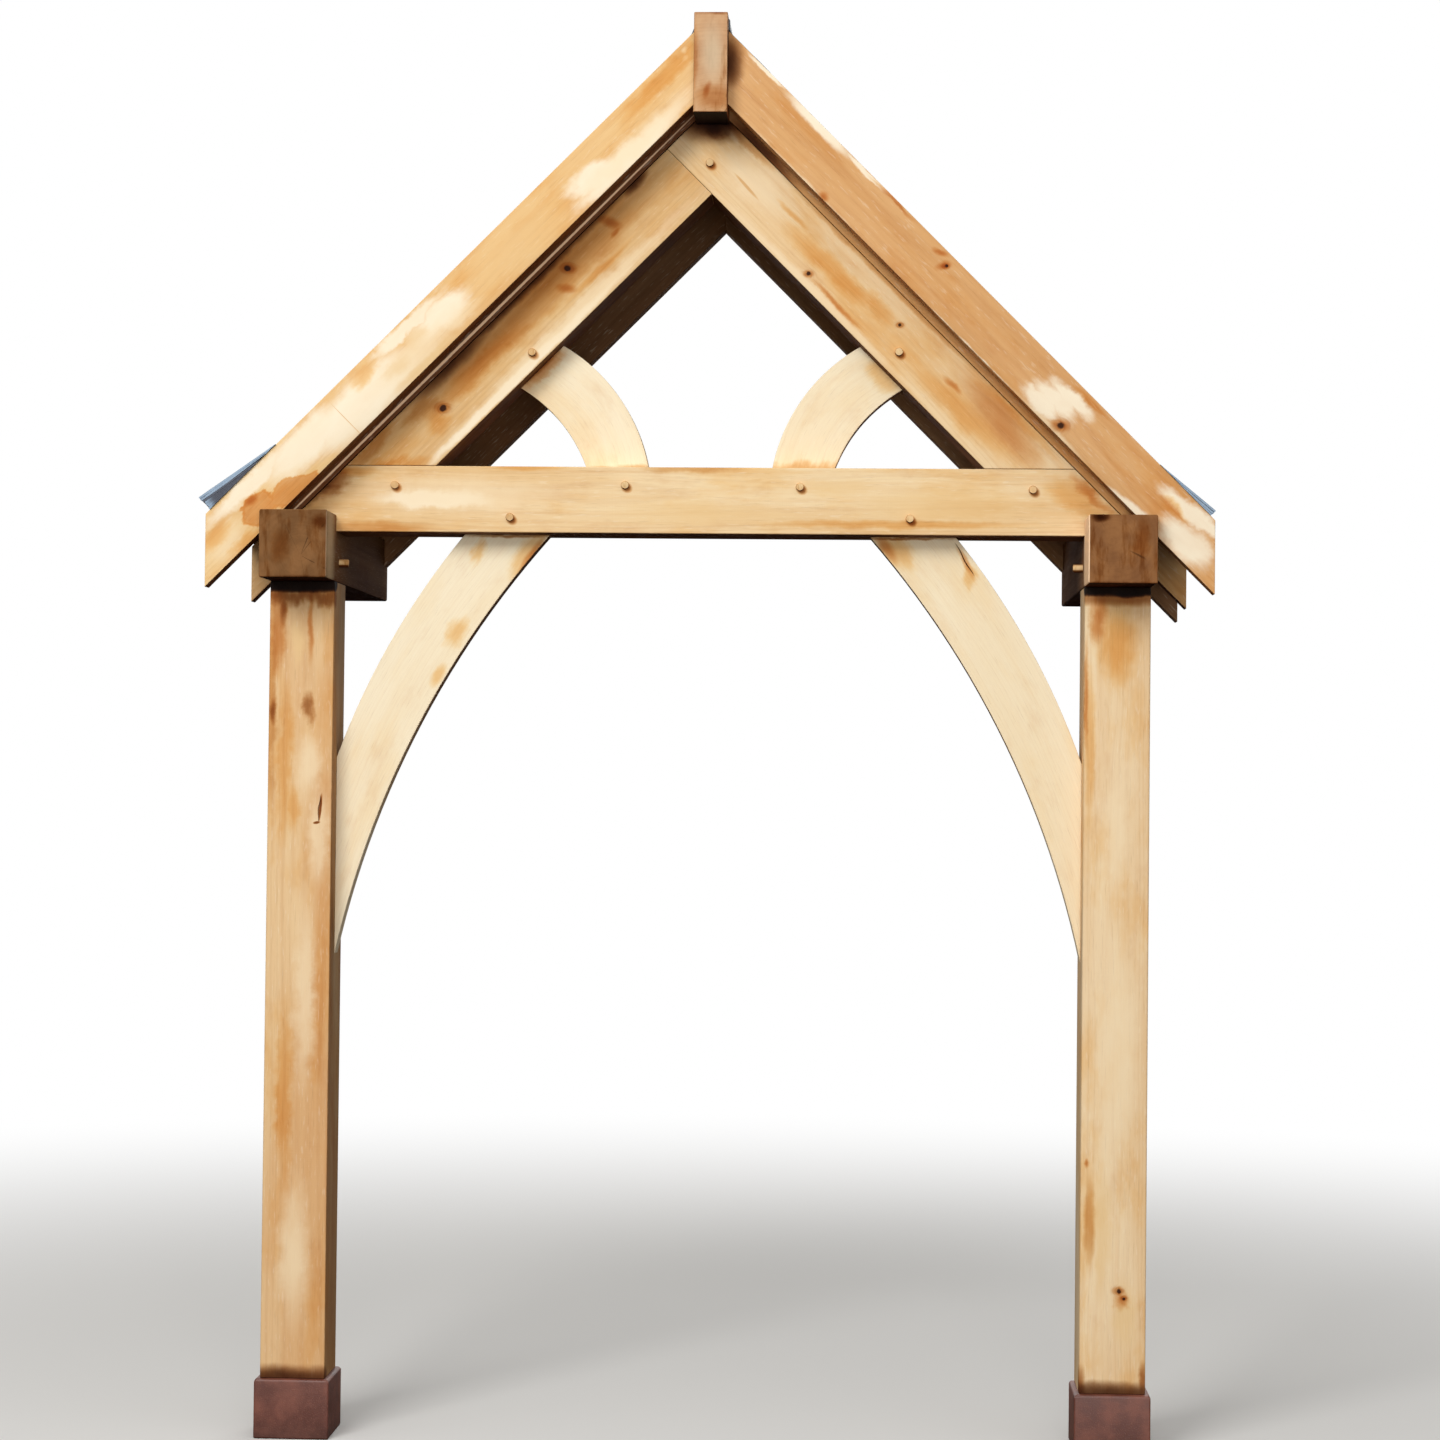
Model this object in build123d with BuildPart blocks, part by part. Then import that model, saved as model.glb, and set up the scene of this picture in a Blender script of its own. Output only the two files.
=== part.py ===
from build123d import *
from math import cos, hypot, radians, sin, tan
import os

# A green-oak porch canopy with a steep slated roof. Two posts on base blocks carry a pair of wall
# plates and a pegged truss with curved braces and struts. At the back everything is fixed to a wall.
# X runs along the wall, Y into the wall and Z up. The origin is the middle of the ridge beam's
# end, where it bears on the wall. Lengths are millimetres.

os.makedirs("parts", exist_ok=True)

# Plan
span = 2060             # between the centres of the two posts
projection = 985        # from the wall to the front ends of the plates and the ridge beam
truss_setback = 142     # from those ends back to the front face of the truss and posts
barge_setback = 46      # from those ends back to the face of the barge rafters
curved_setback = 62     # from the truss's face back to the face of the curved braces and struts
rafter_proud = 8        # how far the front rafters stand out over the truss's face
middle_rafter_place = 400   # from the wall to the middle of the middle rafters
middle_tail_cut = 15    # how much shorter the middle rafters' tails are than the others

# Timber sections
post_size = 165
post_height = 2015
plate_width = 170
plate_depth = 170
tie_depth = 168
tie_thickness = 165
principal_depth = 161
principal_thickness = 140
curved_thickness = 50   # of the curved braces and struts
ridge_width = 84
ridge_depth = 250
rafter_depth = 105
rafter_thickness = 50
wall_rafter_depth = 230
wall_rafter_thickness = 60
barge_depth = 130
barge_thickness = 50
arris = 3               # the chamfer planed on the long edges of the heavy timbers

# Base blocks
block_size = 190
block_height = 150
block_chamfer = 5

# Joints
tie_cog = 43            # how deep the tie beam is let into the plates
tie_end_height = 20     # the upright that is left at each end of the tie beam
rafter_seat = 69        # width of the rafters' level seat on the plates
tenon_thickness = 36
tenon_length = 75
tenon_inset = 14        # from the edges of a timber to its tenon
apex_tenon_length = 84
post_tenon_width = 120
post_tenon_length = 96
mortise_gap = 1         # left at the end of each tenon

# Roof
pitch = 45              # degrees
eaves_overhang = 145    # from the plates' outer faces to the rafters' plumb-cut tails
ridge_drop = 6          # from where the roof slopes would meet down to the ridge beam's top
deck_thickness = 20     # boards over the rafters
slate_thickness = 20    # the slates as they lie, lap over lap
eaves_cut = 34          # from the rafters' tails back up the slope to the edge of the slates
eaves_course = 300      # the length of slope that the eaves fillet tilts up
eaves_lift_left = 43    # how high it lifts the slates at the left eaves
eaves_lift_right = 19   # at the right eaves, where it was planed thinner
verge_lap = 6           # how far the tilted slates stand over the face of the barge rafters
capping_thickness = 4
capping_width = 150     # how far the ridge capping lies down each slope
capping_setback = 60    # from the ridge beam's front end back to the capping

# Curved struts, measured from the middle of the canopy
strut_foot = 157        # to the bulging edge, at the tie beam
strut_foot_width = 158
strut_head = 378        # to the bulging edge, at the principal rafter
strut_head_width = 109  # level measure
strut_bulge = 43        # rise of the bulging edge over its chord
strut_hollow = 24       # rise of the hollow edge over its chord

# Curved braces, measured from the corner of post and tie beam
brace_reach = 541       # along the tie beam to the hollow edge
brace_head_width = 219
brace_drop = 1074       # down the post to the hollow edge
brace_foot_width = 502
brace_hollow = 77       # rise of the hollow edge over its chord
brace_bulge = 28        # rise of the bulging edge over its chord

slope = radians(pitch)


def plumb(depth):
    """Height of a plumb cut through a sloping timber of this depth."""
    return depth / cos(slope)


def under(apex, x):
    """Z of the slope line that starts from this apex, at a distance x from the middle."""
    return apex - abs(x) * tan(slope)


def reach(apex, z):
    """Distance from the middle at which the slope line from this apex comes down to z."""
    return (apex - z) / tan(slope)


def on_slope(sign, distance, rise):
    """A point on the slope of this sign: so far down the deck's top from its apex, so far above it."""
    x = distance * cos(slope) + rise * sin(slope)
    z = deck_apex - distance * sin(slope) + rise * cos(slope)
    return (sign * x, z)


def face(y):
    """The upright drawing plane at this Y, looked at from the front."""
    return Plane.XZ.offset(-y)


def bowed(start, end, bow):
    """Three points of an arc from start to end that rises by bow, to the left of its chord."""
    length = hypot(end[0] - start[0], end[1] - start[1])
    across = (-(end[1] - start[1]) / length, (end[0] - start[0]) / length)
    middle = ((start[0] + end[0]) / 2 + across[0] * bow, (start[1] + end[1]) / 2 + across[1] * bow)
    return start, middle, end


def tenon(start, end, length, mode=Mode.ADD):
    """Adds a tenon on the shoulder line from start to end, standing out to its left.

    With Mode.SUBTRACT it cuts the mortise, which is deeper by the gap at its end.
    """
    depth = length if mode == Mode.ADD else length + mortise_gap
    shoulder = hypot(end[0] - start[0], end[1] - start[1])
    along = ((end[0] - start[0]) / shoulder, (end[1] - start[1]) / shoulder)
    near = (start[0] + along[0] * tenon_inset, start[1] + along[1] * tenon_inset)
    far = (end[0] - along[0] * tenon_inset, end[1] - along[1] * tenon_inset)
    out = (-along[1] * depth, along[0] * depth)
    with BuildSketch(face(tenon_y)) as outline:
        with BuildLine():
            Polyline(
                near,
                far,
                (far[0] + out[0], far[1] + out[1]),
                (near[0] + out[0], near[1] + out[1]),
                close=True,
            )
        make_face()
    extrude(outline.sketch, amount=tenon_thickness, dir=(0, 1, 0), mode=mode)


def flipped(start, end):
    """The same shoulder line on the right-hand side."""
    return (-end[0], end[1]), (-start[0], start[1])


def finish(solid, name):
    """Labels a finished piece and writes it."""
    solid.label = name
    export_step(solid, f"parts/{name}.step")


def finish_pair(solid, name):
    """Writes a left-hand piece and its mirror image on the right."""
    finish(solid, f"{name}_left")
    with BuildPart() as twin:
        mirror(solid, about=Plane.YZ)
    finish(twin.part, f"{name}_right")


# Places from front to back
front_y = -projection
truss_y = front_y + truss_setback
barge_y = front_y + barge_setback
barge_back_y = barge_y + barge_thickness
curved_y = truss_y + curved_setback
tenon_y = curved_y + (curved_thickness - tenon_thickness) / 2
post_mid_y = truss_y + post_size / 2

# Places from the middle outwards
post_x = span / 2
post_inner = post_x - post_size / 2
plate_inner = post_x - plate_width / 2
plate_outer = post_x + plate_width / 2
eaves_reach = plate_outer + eaves_overhang
middle_reach = eaves_reach - middle_tail_cut
ridge_side = ridge_width / 2

# Heights above the posts' feet, and the apexes of the slope lines
rafter_low_rise = post_height + plate_depth + (plate_outer - rafter_seat) * tan(slope)
roof_rise = rafter_low_rise + plumb(rafter_depth + deck_thickness + slate_thickness)
foot_z = ridge_drop + ridge_depth / 2 - roof_rise
plate_bottom = foot_z + post_height
plate_top = plate_bottom + plate_depth
tie_bottom = plate_top - tie_cog
tie_top = tie_bottom + tie_depth
ridge_top = ridge_depth / 2
ridge_bottom = -ridge_depth / 2
roof_apex = foot_z + roof_rise
barge_low_apex = roof_apex - plumb(barge_depth)
deck_apex = roof_apex - plumb(slate_thickness)
rafter_apex = deck_apex - plumb(deck_thickness)
rafter_low_apex = rafter_apex - plumb(rafter_depth)
wall_low_apex = rafter_apex - plumb(wall_rafter_depth)
principal_low_apex = rafter_low_apex - plumb(principal_depth)
tie_end = reach(rafter_low_apex, tie_bottom + tie_end_height)

# Shoulder lines of the tenons, each with its tenon on the left
strut_end = strut_head + strut_head_width
strut_foot_line = (-strut_foot, tie_top), (-strut_foot - strut_foot_width, tie_top)
strut_head_line = (
    (-strut_end, under(principal_low_apex, strut_end)),
    (-strut_head, under(principal_low_apex, strut_head)),
)
brace_head_line = (
    (-post_inner + brace_reach - brace_head_width, tie_bottom),
    (-post_inner + brace_reach, tie_bottom),
)
brace_foot_line = (
    (-post_inner, tie_bottom - brace_drop),
    (-post_inner, tie_bottom - brace_drop + brace_foot_width),
)
principal_foot_line = (
    (-reach(principal_low_apex, tie_top), tie_top),
    (-reach(rafter_low_apex, tie_top), tie_top),
)
lap = principal_depth * sin(slope)
apex_line = (-lap, principal_low_apex + lap), (0, principal_low_apex)


# Base blocks: smooth, with worn top edges, a little wider than the posts
with BuildPart() as block:
    with Locations((-post_x, post_mid_y, foot_z)):
        Box(block_size, block_size, block_height, align=(Align.CENTER, Align.CENTER, Align.MAX))
    chamfer(block.faces().sort_by(Axis.Z)[-1].edges(), block_chamfer)
finish_pair(block.part, "base_block")

# Posts: tenoned into the plates, mortised for the braces
with BuildPart() as post:
    with Locations((-post_x, post_mid_y, foot_z)):
        Box(post_size, post_size, post_height, align=(Align.CENTER, Align.CENTER, Align.MIN))
    chamfer(post.edges().filter_by(Axis.Z), arris)
    tenon(*brace_foot_line, tenon_length, mode=Mode.SUBTRACT)
    with Locations((-post_x, post_mid_y, plate_bottom)):
        Box(tenon_thickness, post_tenon_width, post_tenon_length,
            align=(Align.CENTER, Align.CENTER, Align.MIN))
finish_pair(post.part, "post")

# Wall plates: from the wall out past the posts, with a housing for the tie beam
with BuildPart() as plate:
    with Locations((-post_x, front_y, plate_bottom)):
        Box(plate_width, projection, plate_depth, align=(Align.CENTER, Align.MIN, Align.MIN))
    chamfer(plate.edges().filter_by(Axis.Y), arris)
    with Locations((-tie_end, truss_y, tie_bottom)):
        Box(tie_end, tie_thickness, plate_depth, align=(Align.MIN, Align.MIN, Align.MIN),
            mode=Mode.SUBTRACT)
    with Locations((-post_x, post_mid_y, plate_bottom)):
        Box(tenon_thickness, post_tenon_width, post_tenon_length + mortise_gap,
            align=(Align.CENTER, Align.CENTER, Align.MIN), mode=Mode.SUBTRACT)
finish_pair(plate.part, "wall_plate")

# Tie beam: cogged into both plates, its ends cut to the slope of the roof
with BuildPart() as tie:
    with BuildSketch(face(truss_y)):
        with BuildLine():
            Polyline(
                (-tie_end, tie_bottom),
                (-tie_end, under(rafter_low_apex, tie_end)),
                (-reach(rafter_low_apex, tie_top), tie_top),
                (reach(rafter_low_apex, tie_top), tie_top),
                (tie_end, under(rafter_low_apex, tie_end)),
                (tie_end, tie_bottom),
                close=True,
            )
        make_face()
    extrude(amount=-tie_thickness)
    for line in (strut_foot_line, brace_head_line, principal_foot_line):
        tenon(*line, tenon_length, mode=Mode.SUBTRACT)
        tenon(*flipped(*line), tenon_length, mode=Mode.SUBTRACT)
finish(tie.part, "tie_beam")

# Principal rafters: the head of the left one is tenoned into the right one, which laps over it.
# Together they cradle the ridge beam.
for side, sign in (("left", -1), ("right", 1)):
    head = [apex_line[1], apex_line[0]]
    if sign > 0:
        head.append((0, rafter_low_apex))
    foot = [(sign * reach(apex, tie_top), tie_top) for apex in (rafter_low_apex, principal_low_apex)]
    with BuildPart() as principal:
        with BuildSketch(face(truss_y)):
            with BuildLine():
                Polyline(*head, *foot, close=True)
            make_face()
        extrude(amount=-principal_thickness)
        if sign < 0:
            tenon(*principal_foot_line, tenon_length)
            tenon(*strut_head_line, tenon_length, mode=Mode.SUBTRACT)
            tenon(*apex_line, apex_tenon_length)
        else:
            tenon(*flipped(*principal_foot_line), tenon_length)
            tenon(*flipped(*strut_head_line), tenon_length, mode=Mode.SUBTRACT)
            tenon(*apex_line, apex_tenon_length, mode=Mode.SUBTRACT)
        with Locations((0, truss_y, ridge_bottom)):
            Box(ridge_width, 2 * principal_thickness, ridge_depth,
                align=(Align.CENTER, Align.CENTER, Align.MIN), mode=Mode.SUBTRACT)
    finish(principal.part, f"principal_rafter_{side}")

# Curved struts between the tie beam and the principal rafters, tenoned at both ends
with BuildPart() as strut:
    with BuildSketch(face(curved_y)):
        with BuildLine():
            foot_in, foot_out = strut_foot_line
            head_out, head_in = strut_head_line
            ThreePointArc(*bowed(foot_in, head_in, -strut_bulge))
            Line(head_in, head_out)
            ThreePointArc(*bowed(head_out, foot_out, strut_hollow))
            Line(foot_out, foot_in)
        make_face()
    extrude(amount=-curved_thickness)
    tenon(*strut_foot_line, tenon_length)
    tenon(*strut_head_line, tenon_length)
finish_pair(strut.part, "curved_strut")

# Curved braces between the posts and the tie beam, tenoned at both ends
with BuildPart() as brace:
    with BuildSketch(face(curved_y)):
        with BuildLine():
            head_out, head_in = brace_head_line
            foot_low, foot_high = brace_foot_line
            ThreePointArc(*bowed(head_out, foot_high, -brace_bulge))
            Line(foot_high, foot_low)
            ThreePointArc(*bowed(foot_low, head_in, brace_hollow))
            Line(head_in, head_out)
        make_face()
    extrude(amount=-curved_thickness)
    tenon(*brace_head_line, tenon_length)
    tenon(*brace_foot_line, tenon_length)
finish_pair(brace.part, "curved_brace")

# Ridge beam: from the wall out past the barge rafters
with BuildPart() as ridge:
    with Locations((0, front_y, ridge_bottom)):
        Box(ridge_width, projection, ridge_depth, align=(Align.CENTER, Align.MIN, Align.MIN))
finish(ridge.part, "ridge_beam")

# Middle rafters: plumb cut against the ridge beam, notched over the plates, with plumb-cut tails
with BuildPart() as rafter:
    with BuildSketch(face(-middle_rafter_place - rafter_thickness / 2)):
        with BuildLine():
            Polyline(
                (-ridge_side, under(rafter_apex, ridge_side)),
                (-middle_reach, under(rafter_apex, middle_reach)),
                (-middle_reach, under(rafter_low_apex, middle_reach)),
                (-plate_outer, under(rafter_low_apex, plate_outer)),
                (-plate_outer, plate_top),
                (-reach(rafter_low_apex, plate_top), plate_top),
                (-ridge_side, under(rafter_low_apex, ridge_side)),
                close=True,
            )
        make_face()
    extrude(amount=-rafter_thickness)
finish_pair(rafter.part, "middle_rafter")

# Front rafters: they lie on the truss, a little proud of it, and stop over the plates' outer faces
with BuildPart() as front_rafter:
    with BuildSketch(face(truss_y - rafter_proud)):
        with BuildLine():
            Polyline(
                (-ridge_side, under(rafter_apex, ridge_side)),
                (-plate_outer, under(rafter_apex, plate_outer)),
                (-plate_outer, plate_top),
                (-reach(rafter_low_apex, plate_top), plate_top),
                (-ridge_side, under(rafter_low_apex, ridge_side)),
                close=True,
            )
        make_face()
    extrude(amount=-rafter_thickness)
finish_pair(front_rafter.part, "front_rafter")

# Wall rafters: deeper, bolted to the wall, meeting under the ridge beam and housed over the plates
with BuildPart() as wall_rafter:
    with BuildSketch(face(-wall_rafter_thickness)):
        with BuildLine():
            Polyline(
                (-ridge_side, under(rafter_apex, ridge_side)),
                (-eaves_reach, under(rafter_apex, eaves_reach)),
                (-eaves_reach, under(rafter_low_apex, eaves_reach)),
                (-plate_outer, under(rafter_low_apex, plate_outer)),
                (-plate_outer, plate_top),
                (-plate_inner, plate_top),
                (-plate_inner, under(wall_low_apex, plate_inner)),
                (0, wall_low_apex),
                (0, ridge_bottom),
                (-ridge_side, ridge_bottom),
                close=True,
            )
        make_face()
    extrude(amount=-wall_rafter_thickness)
finish_pair(wall_rafter.part, "wall_rafter")

# Barge rafters: the outer pair, notched over the plate ends
with BuildPart() as barge:
    with BuildSketch(face(barge_y)):
        with BuildLine():
            Polyline(
                (-ridge_side, under(roof_apex, ridge_side)),
                (-eaves_reach, under(roof_apex, eaves_reach)),
                (-eaves_reach, under(barge_low_apex, eaves_reach)),
                (-plate_outer, under(barge_low_apex, plate_outer)),
                (-plate_outer, plate_top),
                (-reach(barge_low_apex, plate_top), plate_top),
                (-ridge_side, under(barge_low_apex, ridge_side)),
                close=True,
            )
        make_face()
    extrude(amount=-barge_thickness)
finish_pair(barge.part, "barge_rafter")

# Roof boards over the rafters, behind the barge rafters
with BuildPart() as deck:
    with BuildSketch(face(barge_back_y)):
        with BuildLine():
            Polyline(
                (-ridge_side, under(deck_apex, ridge_side)),
                (-eaves_reach, under(deck_apex, eaves_reach)),
                (-eaves_reach, under(rafter_apex, eaves_reach)),
                (-ridge_side, under(rafter_apex, ridge_side)),
                close=True,
            )
        make_face()
    extrude(amount=barge_back_y)
finish_pair(deck.part, "roof_boards")

# The tilted eaves: how far down the slope the fillet starts, and where it and the slates end
eaves_distance = eaves_reach / cos(slope) - eaves_cut
tilt_distance = eaves_distance - eaves_course

# Eaves fillets: long wedges on the boards that tilt up the lowest slates. Slates: flush with the barge
# rafters' top edges. At the eaves they are tilted up, and packed out with more slates over the barge
# rafters.
for side, sign, lift in (("left", -1, eaves_lift_left), ("right", 1, eaves_lift_right)):
    with BuildPart() as fillet_strip:
        with BuildSketch(face(barge_back_y)):
            with BuildLine():
                Polyline(
                    on_slope(sign, tilt_distance, 0),
                    on_slope(sign, eaves_distance, 0),
                    on_slope(sign, eaves_distance, lift),
                    close=True,
                )
            make_face()
        extrude(amount=barge_back_y)
    finish(fillet_strip.part, f"eaves_fillet_{side}")

    with BuildPart() as slates:
        with BuildSketch(face(barge_back_y)):
            with BuildLine():
                Polyline(
                    (sign * ridge_side, under(deck_apex, ridge_side)),
                    on_slope(sign, tilt_distance, 0),
                    on_slope(sign, eaves_distance, lift),
                    on_slope(sign, eaves_distance, lift + slate_thickness),
                    on_slope(sign, tilt_distance, slate_thickness),
                    (sign * ridge_side, under(roof_apex, ridge_side)),
                    close=True,
                )
            make_face()
        extrude(amount=barge_back_y)
        with BuildSketch(face(barge_y - verge_lap)):
            with BuildLine():
                Polyline(
                    on_slope(sign, tilt_distance, slate_thickness),
                    on_slope(sign, eaves_distance, slate_thickness),
                    on_slope(sign, eaves_distance, lift + slate_thickness),
                    close=True,
                )
            make_face()
        extrude(amount=-(barge_thickness + verge_lap))
    finish(slates.part, f"slates_{side}")

# Ridge capping: soft metal dressed over the ridge beam and down on to the slates
capping_foot = ridge_side + capping_width * cos(slope)
capping_side = ridge_side + capping_thickness
capping_apex = roof_apex + plumb(capping_thickness)
with BuildPart() as capping:
    with BuildSketch(face(front_y + capping_setback)):
        with BuildLine():
            inside = [
                (capping_foot, under(roof_apex, capping_foot)),
                (ridge_side, under(roof_apex, ridge_side)),
                (ridge_side, ridge_top),
            ]
            outside = [
                (capping_side, ridge_top + capping_thickness),
                (capping_side, under(capping_apex, capping_side)),
                (capping_foot, under(capping_apex, capping_foot)),
            ]
            Polyline(
                *inside,
                *[(-x, z) for x, z in reversed(inside)],
                *[(-x, z) for x, z in reversed(outside)],
                *outside,
                close=True,
            )
        make_face()
    extrude(amount=front_y + capping_setback)
finish(capping.part, "ridge_capping")
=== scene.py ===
# %% [markdown]
# # A porch canopy in green oak
# Two posts carry a pair of wall plates and a pegged truss, and the truss carries a steep little slated roof.
# The measured solids come in as a fixed frame, and this file gives them the skin of the real thing: oak with
# its arrises worn round, pegs, boards, slates laid one by one, and lead over the ridge.
# X runs along the wall to the right, Y into the wall and Z up. The origin is the middle of the ridge beam's
# end at the wall. Lengths are in metres, and in millimetres in the tables of marks and knots.

# %% Load the frame
from functools import reduce
from math import atan2, cos, degrees, hypot, pi, radians, sin

import bmesh
import bpy
import numpy as np
from mathutils import Matrix, Vector


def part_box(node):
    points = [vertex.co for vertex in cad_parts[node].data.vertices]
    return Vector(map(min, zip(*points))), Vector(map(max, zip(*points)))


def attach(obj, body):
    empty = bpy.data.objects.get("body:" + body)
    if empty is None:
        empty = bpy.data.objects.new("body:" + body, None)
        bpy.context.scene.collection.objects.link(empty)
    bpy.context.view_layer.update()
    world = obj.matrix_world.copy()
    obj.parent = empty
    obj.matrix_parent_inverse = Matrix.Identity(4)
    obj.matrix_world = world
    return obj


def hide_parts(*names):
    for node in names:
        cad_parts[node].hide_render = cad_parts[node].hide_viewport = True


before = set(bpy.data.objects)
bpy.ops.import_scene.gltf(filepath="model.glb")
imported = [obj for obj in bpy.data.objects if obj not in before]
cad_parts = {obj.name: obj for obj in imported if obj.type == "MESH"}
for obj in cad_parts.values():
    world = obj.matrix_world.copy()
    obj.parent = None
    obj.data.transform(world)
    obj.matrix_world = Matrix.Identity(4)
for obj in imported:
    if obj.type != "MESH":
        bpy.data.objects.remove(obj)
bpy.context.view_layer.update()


def in_scene(name, data):
    """A new object with this data, linked into the scene."""
    made = bpy.data.objects.new(name, data)
    bpy.context.scene.collection.objects.link(made)
    return made

# %% [markdown]
# ## The places that the skin has to keep to
# Everything that is added sits on a timber or a slope that is already there. So the places are read off the
# frame's own boxes, and only the roof's build-up and the curves of the braces are written down again.

# %% Places
low_post, high_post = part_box("post_left")
low_tie, high_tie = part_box("tie_beam")
low_plate, high_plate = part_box("wall_plate_right")
low_ridge, high_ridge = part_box("ridge_beam")
low_barge, high_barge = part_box("barge_rafter_left")
curved_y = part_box("curved_brace_left")[0].y
front_y, barge_y, barge_back_y, truss_y = low_ridge.y, low_barge.y, high_barge.y, low_tie.y
foot_z, tie_bottom, tie_top = low_post.z, low_tie.z, high_tie.z
post_inner = -high_post.x
post_x = -(low_post.x + high_post.x) / 2
ridge_side = high_ridge.x
slope = radians(45)
deck_thickness, slate_bed, rafter_depth = 0.020, 0.020, 0.105
roof_apex = high_barge.z + ridge_side
deck_apex = roof_apex - slate_bed / cos(slope)
rafter_low_apex = deck_apex - (deck_thickness + rafter_depth) / cos(slope)
tail_distance = -low_barge.x / cos(slope)
print(f"truss face {truss_y:.4f}, tie {tie_bottom:.4f} to {tie_top:.4f}, foot {foot_z:.4f}")
print(f"boards' apex {deck_apex:.4f}, length of slope {tail_distance:.3f}")

# %% [markdown]
# ## Camera
# The camera stands where the photograph was taken from: about 8.5 m in front of the wall, at eye height and
# a little to the right. Its place and turn come from fitting a camera to the edges of the timbers, so lines
# in the render fall on the same lines in the picture.

# %% Camera
PHOTO_SIZE = 1440
FOCAL_PIXELS = 3039.3
SENSOR = 36.0
NEAREST, FARTHEST = 0.1, 200
EYE = Vector((0.3797, -8.4919, -1.7916))
YAW, PITCH, ROLL = -0.04514, 0.02076, 0.01038


def turned(yaw, pitch, roll):
    """The camera's own axes: forward from yaw and pitch, then right and up turned about it by roll."""
    forward = Vector((sin(yaw) * cos(pitch), cos(yaw) * cos(pitch), sin(pitch)))
    level = Vector((cos(yaw), -sin(yaw), 0))
    upright = level.cross(forward)
    right = cos(roll) * level + sin(roll) * upright
    up = cos(roll) * upright - sin(roll) * level
    return Matrix((right, up, -forward)).transposed()


camera = in_scene("camera", bpy.data.cameras.new("camera"))
camera.data.sensor_width = SENSOR
camera.data.lens = FOCAL_PIXELS / PHOTO_SIZE * SENSOR
camera.data.clip_start, camera.data.clip_end = NEAREST, FARTHEST
camera.matrix_world = Matrix.Translation(EYE) @ turned(YAW, PITCH, ROLL).to_4x4()
bpy.context.scene.camera = camera
print("lens", round(camera.data.lens, 2), "mm")

# %% [markdown]
# ## Writing a material down
# A finish is a recipe: patterns are measured along the timber, turned into masks, and the masks choose
# between colours. One node after another can be wired up by hand, but a small helper that adds a node and
# hands back its output keeps each recipe as short as the sentence that describes it.

# %% A recipe for one finish


def tone(code):
    """A colour as paint shops write it, #rrggbb, as the linear values that the renderer mixes.

    linear = share / 12.92 for a dark share of 255, or else ((share + 0.055) / 1.055) ^ 2.4.
    """
    shares = np.array([int(code[i:i + 2], 16) for i in (1, 3, 5)]) / 255
    linear = np.where(shares <= 0.04045, shares / 12.92, ((shares + 0.055) / 1.055) ** 2.4)
    return (*linear.tolist(), 1.0)


class Value:
    """What a recipe works out at every point. Numbers are added, subtracted and multiplied by +, - and *."""

    def __init__(self, recipe, socket):
        self.recipe, self.socket = recipe, socket

    def __add__(self, other):
        return self.recipe.math("ADD", self, other)

    def __sub__(self, other):
        return self.recipe.math("SUBTRACT", self, other)

    def __mul__(self, other):
        return self.recipe.math("MULTIPLY", self, other)


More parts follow.
